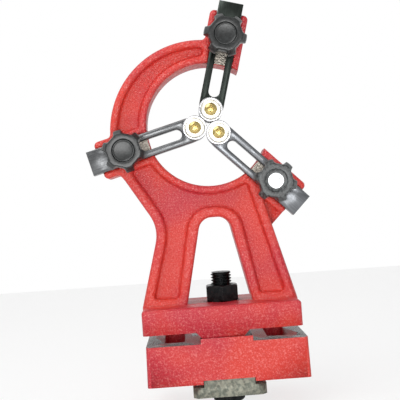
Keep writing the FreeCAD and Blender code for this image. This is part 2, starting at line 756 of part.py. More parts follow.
def bevel_hexagon(body, height, upwards):
    """Turn off the corners of a hexagon at 30 degrees, at one of its faces."""
    inner = S.hex_across_flats / 2
    outer = S.hex_across_flats / math.sqrt(3) + 1
    drop = (outer - inner) * math.tan(math.radians(30))
    name = f"{body.Label}_bevel_{'top' if upwards else 'bottom'}"
    sketch = new_sketch(body, f"{name}_outline", "XZ_Plane")
    far = height + 1 if upwards else height - 1
    near_side = height - drop if upwards else height + drop
    draw_polygon(sketch, [(inner, height), (outer, near_side), (outer, far), (inner, far)])
    feature = body.newObject("PartDesign::Groove", name)
    feature.Profile = sketch
    feature.ReferenceAxis = (sketch, ["V_Axis"])
    feature.Angle = 360.0


def add_upright_cylinder(body, name, bottom, top, radius):
    """A round pad from one height to another about the Z axis."""
    sketch = new_sketch(body, f"{name}_outline", "XY_Plane", offset=(0, 0, bottom))
    draw_circle(sketch, 0, 0, radius)
    return pad(body, name, sketch, top - bottom)


def make_clamp_bolt():
    """The long hexagon bolt that pulls the clamp plate up."""
    body = new_body("clamp_bolt")
    sketch = new_sketch(body, "bolt_head_outline", "XY_Plane", offset=(0, 0, HEAD_BOTTOM))
    draw_hexagon(sketch, S.hex_across_flats, 90)
    pad(body, "bolt_head", sketch, S.hex_head_height)
    bevel_hexagon(body, HEAD_BOTTOM, upwards=False)
    add_upright_cylinder(body, "bolt_shank", PLATE_BOTTOM, BOLT_TOP, S.bolt_diameter / 2)
    round_edges(body, "bolt_point", S.bolt_diameter / 16,
                lambda edge: abs(edge.BoundBox.ZMin - BOLT_TOP.value) < 1e-3, kind="Chamfer")
    return body


def make_clamp_nut():
    """The hexagon nut on the foot, inside the window."""
    body = new_body("clamp_nut")
    sketch = new_sketch(body, "nut_outline", "XY_Plane", offset=(0, 0, FOOT_TOP))
    draw_hexagon(sketch, S.hex_across_flats, 90)
    pad(body, "nut", sketch, S.nut_height)
    bevel_hexagon(body, FOOT_TOP, upwards=False)
    bevel_hexagon(body, NUT_TOP, upwards=True)
    cut_bolt_hole(body, 0, S.thread_clearance)
    return body


# ---------------------------------------------------------------- one finger and what it carries


def make_finger(name):
    """A slotted bar with a rounded tip that the roller is screwed to."""
    body = new_body(f"{name}_finger")
    half = S.finger_width / 2
    tip = S.finger_tip_radius
    sketch = new_sketch(body, f"{name}_finger_outline", "XZ_Plane", offset=(0, 0, CHANNEL_FLOOR))
    draw_polygon(sketch, [
        (ROLLER_PLACE, -tip), (ROLLER_PLACE + tip / 2, -half), (S.finger_end, -half),
        (S.finger_end, half), (ROLLER_PLACE + tip / 2, half), (ROLLER_PLACE, tip)])
    pad(body, f"{name}_finger_bar", sketch, S.finger_thickness)
    sketch = new_sketch(body, f"{name}_finger_tip_outline", "XZ_Plane",
                        offset=(0, 0, CHANNEL_FLOOR))
    draw_circle(sketch, ROLLER_PLACE, 0, tip)
    pad(body, f"{name}_finger_tip", sketch, S.finger_thickness)

    slot = S.finger_slot_width / 2
    inner = S.finger_slot_inner + slot
    outer = S.finger_slot_outer - slot
    sketch = new_sketch(body, f"{name}_slot_outline", "XZ_Plane", offset=(0, 0, FINGER_FRONT))
    draw_rectangle(sketch, inner, outer, -slot, slot)
    pocket(body, f"{name}_slot", sketch, 2 * S.finger_thickness)
    sketch = new_sketch(body, f"{name}_slot_ends_outline", "XZ_Plane",
                        offset=(0, 0, FINGER_FRONT))
    draw_circle(sketch, inner, 0, slot)
    draw_circle(sketch, outer, 0, slot)
    pocket(body, f"{name}_slot_ends", sketch, 2 * S.finger_thickness)
    round_edges(body, f"{name}_finger_bevel", S.finger_bevel,
                lambda edge: lies_in_plane(edge, -FINGER_FRONT.value), kind="Chamfer")
    sketch = new_sketch(body, f"{name}_roller_hole_outline", "XZ_Plane",
                        offset=(0, 0, FINGER_FRONT))
    draw_circle(sketch, ROLLER_PLACE, 0, S.bearing_bore / 2 + S.thread_clearance)
    pocket(body, f"{name}_roller_hole", sketch, 2 * S.finger_thickness)
    return body


PITCH_RADIUS = (S.bearing_land + S.bearing_outer_bore) / 4
BEARING_MIDDLE = (BEARING_BACK + BEARING_FRONT) / 2
SHIELD_INSET = S.shield_thickness / 2


def groove_for_balls(body):
    """The race that the balls run in."""
    sketch = new_sketch(body, f"{body.Label}_race_outline", "XY_Plane",
                        offset=(ROLLER_PLACE, 0, 0))
    draw_circle(sketch, PITCH_RADIUS, -BEARING_MIDDLE, S.ball_diameter / 2 + S.bearing_fit)
    feature = body.newObject("PartDesign::Groove", f"{body.Label}_race")
    feature.Profile = sketch
    feature.ReferenceAxis = (sketch, ["V_Axis"])
    feature.Angle = 360.0


def turned_ring(name, inner, outer, back, front, bevel=ZERO):
    """A plain ring about the roller's axis, with an optional bevel round its outside."""
    corners = [(inner, back), (inner, front)]
    if bevel.value:
        corners += [(outer - bevel, front), (outer, front - bevel),
                    (outer, back + bevel), (outer - bevel, back)]
    else:
        corners += [(outer, front), (outer, back)]
    return turned_body(name, corners, ROLLER_PLACE)


def make_bearing(name):
    """A shielded ball bearing: its rings, balls, cage and two shields."""
    outer_ring = turned_ring(f"{name}_bearing_outer_ring", S.bearing_outer_bore / 2,
                             S.roller_diameter / 2, BEARING_BACK, BEARING_FRONT,
                             bevel=2 * S.shield_thickness)
    groove_for_balls(outer_ring)
    inner_ring = turned_ring(f"{name}_bearing_inner_ring", S.bearing_bore / 2,
                             S.bearing_land / 2, BEARING_BACK, BEARING_FRONT)
    groove_for_balls(inner_ring)
    shield_bore = S.bearing_land / 2 + S.shield_gap
    shields = []
    for side, front in (("front", BEARING_FRONT - SHIELD_INSET),
                        ("rear", BEARING_BACK + SHIELD_INSET + S.shield_thickness)):
        shields.append(turned_ring(f"{name}_bearing_{side}_shield", shield_bore,
                                   S.bearing_outer_bore / 2, front - S.shield_thickness, front))

    middle = FreeCAD.Vector(ROLLER_PLACE.value, -BEARING_MIDDLE.value, 0)
    outwards = []
    for i in range(BALLS_PER_BEARING):
        angle = 2 * math.pi * i / BALLS_PER_BEARING
        outwards.append(FreeCAD.Vector(math.cos(angle), 0, math.sin(angle)))

    def spheres(radius):
        return [Part.makeSphere(radius, middle + way * PITCH_RADIUS.value, way)
                for way in outwards]

    radius = S.ball_diameter.value / 2
    ball_set = doc.addObject("Part::Feature", f"{name}_bearing_balls")
    ball_set.Shape = Part.makeCompound(spheres(radius))

    front = BEARING_MIDDLE.value + S.cage_front.value
    back = BEARING_MIDDLE.value - S.cage_back.value
    start = FreeCAD.Vector(ROLLER_PLACE.value, -front, 0)
    towards_back = FreeCAD.Vector(0, 1, 0)
    half_wall = S.cage_wall.value / 2
    ring = Part.makeCylinder(PITCH_RADIUS.value + half_wall, front - back, start, towards_back)
    hole = Part.makeCylinder(PITCH_RADIUS.value - half_wall, front - back, start, towards_back)
    cage = doc.addObject("Part::Feature", f"{name}_bearing_cage")
    cage.Shape = ring.cut([hole] + spheres(radius + 2 * S.bearing_fit.value))
    return [outer_ring, inner_ring, ball_set, cage] + shields


def cut_cross(body, name, centre_x, front):
    """A cross recess for a screwdriver."""
    half = S.cross_width / 2
    reach = S.cross_length / 2
    sketch = new_sketch(body, f"{name}_cross_outline", "XZ_Plane", offset=(centre_x, 0, front))
    draw_polygon(sketch, [
        (-reach, -half), (-half, -half), (-half, -reach), (half, -reach), (half, -half),
        (reach, -half), (reach, half), (half, half), (half, reach), (-half, reach),
        (-half, half), (-reach, half)])
    pocket(body, f"{name}_cross", sketch, S.cross_depth)


def make_roller_screw(name):
    """A pan head screw with a cross recess, and the washer that spaces the bearing."""
    shank = S.bearing_bore / 2 - S.bearing_fit
    head = S.roller_head_diameter / 2
    crown = BEARING_FRONT + S.roller_head_height
    edge = BEARING_FRONT + S.roller_head_height / 2
    body = turned_body(f"{name}_roller_screw", [
        (0, crown), (0.65 * head, crown), (0.9 * head, BEARING_FRONT + 0.8 * S.roller_head_height),
        (head, edge), (head, BEARING_FRONT), (shank, BEARING_FRONT),
        (shank, BEARING_FRONT - S.roller_screw_length), (0, BEARING_FRONT - S.roller_screw_length)],
        ROLLER_PLACE)
    cut_cross(body, name, ROLLER_PLACE, crown)
    washer = turned_ring(f"{name}_roller_spacer", S.bearing_bore / 2 + S.thread_clearance,
                         S.bearing_land / 2 - S.shield_gap, FINGER_FRONT, BEARING_BACK)
    return [body, washer]


def make_knob(name, with_cap):
    """A star knob moulded round a socket screw, with a snap-in cap, and its washer."""
    shank = S.screw_diameter / 2
    head = S.socket_head_diameter / 2
    recess = S.cap_radius + S.cap_clearance
    grip = turned_body(f"{name}_knob_grip", [
        (shank, WASHER_FRONT), (S.knob_hub_radius, WASHER_FRONT), (S.knob_hub_radius, LOBE_BACK),
        (S.knob_radius - S.knob_round, LOBE_BACK), (S.knob_radius, LOBE_BACK + S.knob_round),
        (S.knob_radius, LOBE_BACK + 0.35 * S.knob_lobe_height),
        (S.knob_face_radius + S.knob_round, KNOB_FRONT - 1.5 * S.knob_round),
        (S.knob_face_radius, KNOB_FRONT - 0.4 * S.knob_round),
        (S.knob_face_radius - S.knob_round, KNOB_FRONT),
        (recess, KNOB_FRONT), (recess, CAP_SEAT), (head, CAP_SEAT), (head, HEAD_SEAT),
        (shank, HEAD_SEAT)], S.knob_distance)
    sketch = new_sketch(grip, f"{name}_scallop_outline", "XZ_Plane",
                        offset=(S.knob_distance, 0, KNOB_FRONT))
    draw_circle(sketch, S.knob_scallop_place, 0, S.knob_scallop_radius)
    scallop = pocket(grip, f"{name}_scallop", sketch, S.knob_lobe_height)
    centre_sketch = new_sketch(grip, f"{name}_knob_axis", "XZ_Plane",
                               offset=(S.knob_distance, 0, 0))
    pattern_about(grip, f"{name}_scallops", [scallop], centre_sketch, LOBES_PER_KNOB)

    head_top = HEAD_SEAT + S.socket_head_height
    screw = turned_body(f"{name}_knob_screw", [
        (0, head_top), (head, head_top), (head, HEAD_SEAT), (shank, HEAD_SEAT),
        (shank, HEAD_SEAT - S.screw_length), (0, HEAD_SEAT - S.screw_length)], S.knob_distance)
    sketch = new_sketch(screw, f"{name}_socket_outline", "XZ_Plane",
                        offset=(S.knob_distance, 0, head_top))
    draw_hexagon(sketch, S.socket_width, 0)
    pocket(screw, f"{name}_socket", sketch, S.socket_depth)
    washer = turned_body(f"{name}_knob_washer", [
        (shank + S.thread_clearance, FINGER_FRONT), (shank + S.thread_clearance, WASHER_FRONT),
        (S.washer_diameter / 2, WASHER_FRONT), (S.washer_diameter / 2, FINGER_FRONT)],
        S.knob_distance)
    pieces = [grip, screw, washer]
    if with_cap:
        rim = CAP_SEAT + S.cap_thickness
        dish = CAP_SEAT + 0.6 * S.cap_thickness
        pieces.append(turned_body(f"{name}_knob_cap", [
            (0, CAP_SEAT), (0, dish), (0.7 * S.cap_radius, dish), (0.85 * S.cap_radius, rim),
            (0.95 * S.cap_radius, rim), (S.cap_radius, dish), (S.cap_radius, CAP_SEAT)],
            S.knob_distance))
    return pieces


# ---------------------------------------------------------------- assembly and export

nodes = [make_frame_casting(), make_riser_block(), make_clamp_plate(), make_clamp_bolt(),
         make_clamp_nut()]
for index, name in enumerate(FINGERS):
    pieces = [make_finger(name)] + make_bearing(name) + make_roller_screw(name)
    pieces += make_knob(name, with_cap=name in FINGERS_WITH_CAP)
    for piece in pieces:
        place_on_finger(piece, index)
    nodes += pieces

doc.recompute()
for thing in doc.Objects:
    if "Invalid" in thing.State or "Error" in thing.State:
        raise RuntimeError(f"{thing.Label} could not be built")
for node in nodes:
    if node.Shape.isNull() or not node.Shape.isValid():
        raise RuntimeError(f"{node.Label} has no valid shape")

os.makedirs("parts", exist_ok=True)
for node in nodes:
    node.Shape.exportStep(f"parts/{node.Label}.step")
    print(node.Label, round(node.Shape.Volume, 1), len(node.Shape.Solids))
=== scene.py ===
# %% [markdown]
# # A steady rest for a bench lathe
# A steady rest holds up the middle of a long, thin workpiece while it turns.  This one is a red
# painted casting with an open ring.  Three slotted fingers reach in to the work, each with a ball
# bearing at its tip and a star knob to clamp it.  The casting stands on a riser block, and one
# long bolt pulls a clamp plate up under the lathe bed.
#
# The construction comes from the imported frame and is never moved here.  This lesson gives each
# piece its finish, and models again the small pieces that deserve closer work: knobs, bearings,
# screws, nut and bolt.

# %% Load the frame
import json
import math

import bmesh
import bpy
import numpy as np
from mathutils import Vector
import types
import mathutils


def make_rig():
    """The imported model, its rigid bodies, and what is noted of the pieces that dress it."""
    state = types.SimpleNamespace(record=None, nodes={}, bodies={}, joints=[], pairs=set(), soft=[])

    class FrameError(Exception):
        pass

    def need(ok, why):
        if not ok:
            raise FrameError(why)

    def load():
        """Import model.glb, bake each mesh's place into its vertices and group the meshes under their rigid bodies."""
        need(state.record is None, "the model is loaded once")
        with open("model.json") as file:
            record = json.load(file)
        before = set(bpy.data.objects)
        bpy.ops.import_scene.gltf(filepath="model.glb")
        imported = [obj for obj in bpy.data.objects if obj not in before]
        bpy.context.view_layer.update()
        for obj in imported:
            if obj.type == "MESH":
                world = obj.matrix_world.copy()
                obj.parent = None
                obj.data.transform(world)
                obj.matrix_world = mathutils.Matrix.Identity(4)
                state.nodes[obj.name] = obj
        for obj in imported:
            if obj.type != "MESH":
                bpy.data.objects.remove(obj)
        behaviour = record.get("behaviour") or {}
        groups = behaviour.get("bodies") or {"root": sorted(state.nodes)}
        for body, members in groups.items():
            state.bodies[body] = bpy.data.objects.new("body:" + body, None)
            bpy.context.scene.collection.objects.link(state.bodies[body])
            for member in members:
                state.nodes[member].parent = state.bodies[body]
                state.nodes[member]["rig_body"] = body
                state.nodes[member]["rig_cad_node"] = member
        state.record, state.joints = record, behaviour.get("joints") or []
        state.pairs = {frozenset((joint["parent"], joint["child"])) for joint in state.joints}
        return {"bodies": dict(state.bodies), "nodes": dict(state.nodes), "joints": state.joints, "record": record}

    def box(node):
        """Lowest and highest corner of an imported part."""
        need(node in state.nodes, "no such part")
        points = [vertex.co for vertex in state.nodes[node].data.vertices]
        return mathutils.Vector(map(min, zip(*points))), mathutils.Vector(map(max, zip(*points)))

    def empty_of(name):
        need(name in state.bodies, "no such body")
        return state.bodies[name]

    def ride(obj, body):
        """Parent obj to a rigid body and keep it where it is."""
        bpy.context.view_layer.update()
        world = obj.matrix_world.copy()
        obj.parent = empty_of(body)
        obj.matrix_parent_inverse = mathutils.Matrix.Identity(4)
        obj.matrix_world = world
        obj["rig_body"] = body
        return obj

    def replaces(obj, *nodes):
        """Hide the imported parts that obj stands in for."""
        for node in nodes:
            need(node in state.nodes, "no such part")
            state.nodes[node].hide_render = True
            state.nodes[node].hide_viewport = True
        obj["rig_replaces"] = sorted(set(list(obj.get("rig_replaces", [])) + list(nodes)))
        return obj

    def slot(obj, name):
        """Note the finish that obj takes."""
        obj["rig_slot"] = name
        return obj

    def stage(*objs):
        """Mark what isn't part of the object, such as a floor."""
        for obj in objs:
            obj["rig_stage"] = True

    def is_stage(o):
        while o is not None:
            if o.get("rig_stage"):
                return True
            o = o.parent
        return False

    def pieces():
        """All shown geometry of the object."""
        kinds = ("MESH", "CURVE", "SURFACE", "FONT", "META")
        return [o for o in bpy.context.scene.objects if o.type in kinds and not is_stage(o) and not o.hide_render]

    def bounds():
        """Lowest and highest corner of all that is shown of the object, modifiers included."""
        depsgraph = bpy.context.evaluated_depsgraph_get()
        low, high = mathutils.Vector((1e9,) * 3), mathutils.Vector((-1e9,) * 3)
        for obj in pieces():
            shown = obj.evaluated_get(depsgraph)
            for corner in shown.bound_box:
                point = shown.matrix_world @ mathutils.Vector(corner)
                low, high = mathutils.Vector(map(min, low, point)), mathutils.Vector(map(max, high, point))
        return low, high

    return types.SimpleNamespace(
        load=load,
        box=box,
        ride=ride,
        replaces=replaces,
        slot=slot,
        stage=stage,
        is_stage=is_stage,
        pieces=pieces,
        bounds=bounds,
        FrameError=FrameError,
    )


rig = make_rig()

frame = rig.load()
cad_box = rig.bounds()
MM = 0.001
print("size in mm:", [round(side / MM, 1) for side in cad_box[1] - cad_box[0]])

# %% [markdown]
# ## Places taken from the frame
# Every size and place below comes from the frame: the joints give the axes, and the box of a
# node gives how far it reaches.  "Front" is the side with the knobs, which is -Y, so a distance
# in front of the casting's middle plane is -y.

# %% Finger axes, rollers and knobs
FINGERS = ("upper", "left", "lower")
joints = {joint["name"]: joint for joint in frame["joints"]}
mounts = {mount["name"]: mount for mount in frame["record"]["mounts"]}
FRONT = np.array((0.0, -1.0, 0.0))
work_axis = np.array(mounts["work_axis"]["pos_m"])
outward = {name: np.array(joints[f"{name}_finger_slide"]["axis"], float) for name in FINGERS}
sideways = {name: np.cross(outward[name], FRONT) for name in FINGERS}
roller_centre = {name: np.array(joints[f"{name}_roller_spin"]["pos_m"]) for name in FINGERS}
knob_centre = {name: np.array(joints[f"{name}_knob_turn"]["pos_m"]) for name in FINGERS}


def reach(node):
    """How far the node reaches: its width along X, its back and its front, in metres."""
    low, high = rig.box(node)
    return high.x - low.x, -high.y, -low.y


print("fingers point at", [round(math.degrees(math.atan2(outward[name][2], outward[name][0])))
                           for name in FINGERS], "degrees")

# %% [markdown]
# ## Camera
# A product picture of a tall part is taken with a longish lens from about half its height.  The
# camera is a little to the left of the casting and looks along +Y, tilted by 4 degrees about its
# own axis, so the upright casting leans a little in the frame.

# %% The camera
CAMERA_PLACE = Vector((-19.3, -526.0, 113.3)) * MM
CAMERA_TURN = math.radians(0.947)
CAMERA_RISE = math.radians(0.683)
CAMERA_TILT = math.radians(4.0)

scene = bpy.context.scene
camera = bpy.data.objects.new("camera", bpy.data.cameras.new("camera"))
camera.data.lens = 68.97
camera.data.sensor_width = 36.0
camera.data.clip_start = 0.02
camera.location = CAMERA_PLACE
looking = Vector((math.sin(CAMERA_TURN) * math.cos(CAMERA_RISE),
                  math.cos(CAMERA_TURN) * math.cos(CAMERA_RISE), math.sin(CAMERA_RISE)))
level = looking.to_track_quat("-Z", "Y").to_matrix()
tilt = Vector((0, 0, 1))
camera.rotation_mode = "QUATERNION"
camera.rotation_quaternion = looking.to_track_quat("-Z", "Y")
camera.rotation_quaternion.rotate(
    __import__("mathutils").Quaternion(looking, CAMERA_TILT))
scene.collection.objects.link(camera)
scene.camera = camera
scene.view_settings.view_transform = "Standard"

# %% [markdown]
# ## Light and background
# Pieces like this are pictured on plain white with one broad soft light beside the lens.  It
# makes flat faces that look at the lens bright and lets the slopes fall off dark.  The white
# comes from the backdrop's own colour: rays from the camera, and rays that bounce off metal, see
# it at a strength of 1, while the light that falls on the part stays at a plain level.

# %% A helper that adds one shader node


def put(tree, kind, inputs=None, **settings):
    """Add a node, set its settings, and fill or join its inputs."""
    made = tree.nodes.new(kind)
    for key, value in settings.items():
        setattr(made, key, value)
    for key, value in (inputs or {}).items():
        if isinstance(value, bpy.types.NodeSocket):
            tree.links.new(value, made.inputs[key])
        else:
            made.inputs[key].default_value = value
    return made


# %% World, backdrop, floor and lamps
GREY_LIGHT = 0.55
PAPER = (0.93, 0.93, 0.93, 1.0)


def paper_white(name, shadow_share):
    """White to camera, gloss and glass; shadow_share of it still takes the part's shadow."""
    material = bpy.data.materials.new(name)
    material.use_nodes = True
    tree = material.node_tree
    tree.nodes.clear()
    path = put(tree, "ShaderNodeLightPath")
    seen = put(tree, "ShaderNodeMath", {0: path.outputs["Is Camera Ray"],
                                        1: path.outputs["Is Glossy Ray"]}, operation="MAXIMUM")
    seen = put(tree, "ShaderNodeMath", {0: seen.outputs[0],
                                        1: path.outputs["Is Transmission Ray"]},
               operation="MAXIMUM")
    share = put(tree, "ShaderNodeMath", {0: seen.outputs[0], 1: 1.0 - shadow_share},
                operation="MULTIPLY")
    matt = put(tree, "ShaderNodeBsdfDiffuse", {"Color": PAPER})
    white = put(tree, "ShaderNodeEmission", {"Color": (1, 1, 1, 1), "Strength": 1.0})
    mixed = put(tree, "ShaderNodeMixShader", {0: share.outputs[0], 1: matt.outputs[0],
                                              2: white.outputs[0]})
    put(tree, "ShaderNodeOutputMaterial", {"Surface": mixed.outputs[0]})
    return material


def add_sheet(name, corners, material):
    """A flat four cornered sheet that belongs to the stage."""
    mesh = bpy.data.meshes.new(name)
    mesh.from_pydata(corners, [], [(0, 1, 2, 3)])
    sheet = bpy.data.objects.new(name, mesh)
    sheet.data.materials.append(material)
    scene.collection.objects.link(sheet)
    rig.stage(sheet)
    return sheet


world = bpy.data.worlds.new("studio")
world.use_nodes = True
sky = world.node_tree
sky.nodes.clear()
path = put(sky, "ShaderNodeLightPath")
strength = put(sky, "ShaderNodeMix", {"Factor": path.outputs["Is Camera Ray"],
                                      "A": GREY_LIGHT, "B": 1.0})
background = put(sky, "ShaderNodeBackground", {"Color": (1, 1, 1, 1),
                                               "Strength": strength.outputs[0]})
put(sky, "ShaderNodeOutputWorld", {"Surface": background.outputs[0]})
scene.world = world

ground = cad_box[0].z
WIDE = 2.5
add_sheet("floor", [(-WIDE, -WIDE, ground), (WIDE, -WIDE, ground),
                    (WIDE, WIDE, ground), (-WIDE, WIDE, ground)],
          paper_white("floor_paper", 0.25))
add_sheet("backdrop", [(-WIDE, 0.9, ground), (WIDE, 0.9, ground),
                       (WIDE, 0.9, WIDE), (-WIDE, 0.9, WIDE)],
          paper_white("backdrop_paper", 0.0))


def add_lamp(name, place, target, size, power):
    """A soft square lamp that looks at the target."""
    lamp = bpy.data.objects.new(name, bpy.data.lights.new(name, "AREA"))
    lamp.data.shape = "RECTANGLE"
    lamp.data.size, lamp.data.size_y = size
    lamp.data.energy = power
    lamp.location = place
    direction = Vector(target) - Vector(place)
    lamp.rotation_mode = "QUATERNION"
    lamp.rotation_quaternion = direction.to_track_quat("-Z", "Y")
    scene.collection.objects.link(lamp)
    return lamp


add_lamp("front_lamp", (-0.02, -0.75, 0.03), (0, 0, 0.10), (0.55, 0.40), 4.5)
add_lamp("top_lamp", (-0.35, -0.25, 0.75), (0, 0, 0.12), (0.6, 0.6), 3.0)

# %% [markdown]
# ## Shader groups
# Four effects turn up in several finishes, so each is a node group, built once.  A group gives
# out only masks and heights that change over the surface; the Principled shader stays in each
# material, where its plain values can be read.

# %% A helper for groups


def new_group(name, inputs, outputs):
    """An empty shader group with named sockets; returns the tree and its two end nodes."""
    group = bpy.data.node_groups.new(name, "ShaderNodeTree")
    for label, kind, value in inputs:
        socket = group.interface.new_socket(label, in_out="INPUT", socket_type=kind)
        if value is not None:
            socket.default_value = value
    for label, kind in outputs:
        group.interface.new_socket(label, in_out="OUTPUT", socket_type=kind)
    return group, group.nodes.new("NodeGroupInput"), group.nodes.new("NodeGroupOutput")


def put_group(tree, group, inputs):
    """Place a group in a material."""
    made = put(tree, "ShaderNodeGroup", node_tree=group)
    for key, value in inputs.items():
        if isinstance(value, bpy.types.NodeSocket):
            tree.links.new(value, made.inputs[key])
        else:
            made.inputs[key].default_value = value
    return made


def ramp(tree, value, low, high, to_low=0.0, to_high=1.0):
    """Map low..high to to_low..to_high smoothly, and hold beyond."""
    return put(tree, "ShaderNodeMapRange", {"Value": value, "From Min": low, "From Max": high,
                                            "To Min": to_low, "To Max": to_high},
               interpolation_type="SMOOTHSTEP").outputs["Result"]


# %% Cast skin: the pebbled surface of thick paint on a rough casting, with painted glints of light on it


def build_cast_skin():
    """Height is a pebbled noise; the second output marks painted highlights, glints of light painted onto the pebbles
    as colour; Tone is slow.
    """
    group, given, out = new_group(
        "cast_skin",
        [("Place", "NodeSocketVector", None), ("Pebbles per metre", "NodeSocketFloat", 700.0)],
        [("Height", "NodeSocketFloat"), ("Fleck", "NodeSocketFloat"),
         ("Tone", "NodeSocketFloat")])
    place, scale = given.outputs["Place"], given.outputs["Pebbles per metre"]
    pebbles = put(group, "ShaderNodeTexVoronoi", {"Vector": place, "Scale": scale,
                                                  "Smoothness": 0.6, "Randomness": 1.0},
                  feature="SMOOTH_F1")
    fine = put(group, "ShaderNodeTexNoise", {"Vector": place, "Scale": 1500.0, "Detail": 3.0,
                                             "Roughness": 0.65})
    height = put(group, "ShaderNodeMath", {0: pebbles.outputs["Distance"], 1: -0.9,
                                           2: fine.outputs["Fac"]}, operation="MULTIPLY_ADD")
    # Painted highlight: a fine noise whose peaks become light glints in the paint's colour.
    sparkle = put(group, "ShaderNodeTexNoise", {"Vector": place, "Scale": 1150.0, "Detail": 2.0,
                                                "Roughness": 0.8})
    slow = put(group, "ShaderNodeTexNoise", {"Vector": place, "Scale": 22.0, "Detail": 2.0})
    group.links.new(height.outputs[0], out.inputs["Height"])
    group.links.new(ramp(group, sparkle.outputs["Fac"], 0.50, 0.68), out.inputs["Fleck"])
    group.links.new(ramp(group, slow.outputs["Fac"], 0.35, 0.65), out.inputs["Tone"])
    return group


# %% Worn edge: where a sharp edge has been rubbed, and where a painted highlight runs along it


def build_worn_edge():
    """One minus the dot product of the true normal and the normal of a rounded edge."""
    group, given, out = new_group("worn_edge", [("Width", "NodeSocketFloat", 0.0006)],
                                  [("Wear", "NodeSocketFloat")])
    rounded = put(group, "ShaderNodeBevel", {"Radius": given.outputs["Width"]}, samples=4)
    true = put(group, "ShaderNodeNewGeometry")
    alike = put(group, "ShaderNodeVectorMath", {0: rounded.outputs[0],
                                                1: true.outputs["Normal"]},
                operation="DOT_PRODUCT")
    turned = put(group, "ShaderNodeMath", {0: 1.0, 1: alike.outputs["Value"]},
                 operation="SUBTRACT")
    group.links.new(ramp(group, turned.outputs[0], 0.02, 0.16), out.inputs["Wear"])
    return group


# %% Ground grain: fine lines that grinding leaves along one direction


def build_grain():
    """A noise stretched along one direction, as brightness and as height."""
    group, given, out = new_group(
        "ground_grain",
        [("Place", "NodeSocketVector", None), ("Across", "NodeSocketVector", (0, 0, 1)),
         ("Lines per metre", "NodeSocketFloat", 2500.0)],
        [("Height", "NodeSocketFloat"), ("Shade", "NodeSocketFloat")])
    across = put(group, "ShaderNodeVectorMath", {0: given.outputs["Place"],
                                                 1: given.outputs["Across"]},
                 operation="DOT_PRODUCT")
    counted = put(group, "ShaderNodeMath", {0: across.outputs["Value"],
                                            1: given.outputs["Lines per metre"]},
                  operation="MULTIPLY")
    slow = put(group, "ShaderNodeVectorMath", {0: given.outputs["Place"], "Scale": 90.0},
               operation="SCALE")
    side = put(group, "ShaderNodeVectorMath", {0: given.outputs["Across"],
                                               "Scale": counted.outputs[0]}, operation="SCALE")
    point = put(group, "ShaderNodeVectorMath", {0: slow.outputs[0], 1: side.outputs[0]},
                operation="ADD")
    lines = put(group, "ShaderNodeTexNoise", {"Vector": point.outputs[0], "Scale": 1.0,
                                              "Detail": 4.0, "Roughness": 0.7})
    group.links.new(lines.outputs["Fac"], out.inputs["Height"])
    group.links.new(ramp(group, lines.outputs["Fac"], 0.3, 0.7), out.inputs["Shade"])
    return group


# %% Smudges: oil, dust and handling


def build_smudges():
    """A cloudy mask between 0 and 1."""
    group, given, out = new_group(
        "smudges", [("Place", "NodeSocketVector", None), ("Clouds per metre", "NodeSocketFloat",
                                                          120.0)],
        [("Amount", "NodeSocketFloat")])
    clouds = put(group, "ShaderNodeTexNoise", {"Vector": given.outputs["Place"],
                                               "Scale": given.outputs["Clouds per metre"],
                                               "Detail": 5.0, "Roughness": 0.6})
    group.links.new(ramp(group, clouds.outputs["Fac"], 0.4, 0.62), out.inputs["Amount"])
    return group


# %% Milled channel: where a cutter has taken the paint off


def build_milled_channel():
    """1 within half a width of a finger's line and beyond the bore."""
    group, given, out = new_group(
        "milled_channel",
        [("Place", "NodeSocketVector", None), ("Axis point", "NodeSocketVector", (0, 0, 0)),
         ("Outward", "NodeSocketVector", (1, 0, 0)), ("Sideways", "NodeSocketVector", (0, 0, 1)),
         ("Half width", "NodeSocketFloat", 0.0087), ("Nearest", "NodeSocketFloat", 0.042)],
        [("Mask", "NodeSocketFloat")])
    arm = put(group, "ShaderNodeVectorMath", {0: given.outputs["Place"],
                                              1: given.outputs["Axis point"]},
              operation="SUBTRACT")
    along = put(group, "ShaderNodeVectorMath", {0: arm.outputs[0],
                                                1: given.outputs["Outward"]},
                operation="DOT_PRODUCT")
    across = put(group, "ShaderNodeVectorMath", {0: arm.outputs[0],
                                                 1: given.outputs["Sideways"]},
                 operation="DOT_PRODUCT")
    beside = put(group, "ShaderNodeMath", {0: across.outputs["Value"]}, operation="ABSOLUTE")
    inside = put(group, "ShaderNodeMath", {0: beside.outputs[0],
                                           1: given.outputs["Half width"]},
                 operation="LESS_THAN")
    beyond = put(group, "ShaderNodeMath", {0: along.outputs["Value"],
                                           1: given.outputs["Nearest"]},
                 operation="GREATER_THAN")
    both = put(group, "ShaderNodeMath", {0: inside.outputs[0], 1: beyond.outputs[0]},
               operation="MULTIPLY")
    group.links.new(both.outputs[0], out.inputs["Mask"])
    return group


cast_skin = build_cast_skin()
worn_edge = build_worn_edge()
ground_grain = build_grain()
smudges = build_smudges()
milled_channel = build_milled_channel()
print("groups:", [group.name for group in bpy.data.node_groups])

# %% [markdown]
# ## Finishes
# Each finish starts from one Principled shader.  Its plain values, such as the specular level,
# are set on the shader itself; only what changes over the surface is joined to it.

# %% A new finish


def new_finish(name, **plain):
    """A material with a Principled shader; returns the material, tree, shader and place."""
    material = bpy.data.materials.new(name)
    material.use_nodes = True
    tree = material.node_tree
    shader = tree.nodes["Principled BSDF"]
    for key, value in plain.items():
        shader.inputs[key.replace("_", " ")].default_value = value
    place = put(tree, "ShaderNodeTexCoord").outputs["Object"]
    return material, tree, shader, place


def mix_colours(tree, factor, first, second):
    """A colour between two others."""
    mixed = put(tree, "ShaderNodeMix", {"Factor": factor}, data_type="RGBA")
    for socket, colour in (("A", first), ("B", second)):
        target = [s for s in mixed.inputs if s.name == socket and s.type == "RGBA"][0]
        if isinstance(colour, bpy.types.NodeSocket):
            tree.links.new(colour, target)
        else:
            target.default_value = (*colour, 1.0)
    return [s for s in mixed.outputs if s.type == "RGBA"][0]


def bump(tree, height, distance, strength=1.0):
    """A normal from a height."""
    return put(tree, "ShaderNodeBump", {"Height": height, "Distance": distance,
                                        "Strength": strength}).outputs["Normal"]


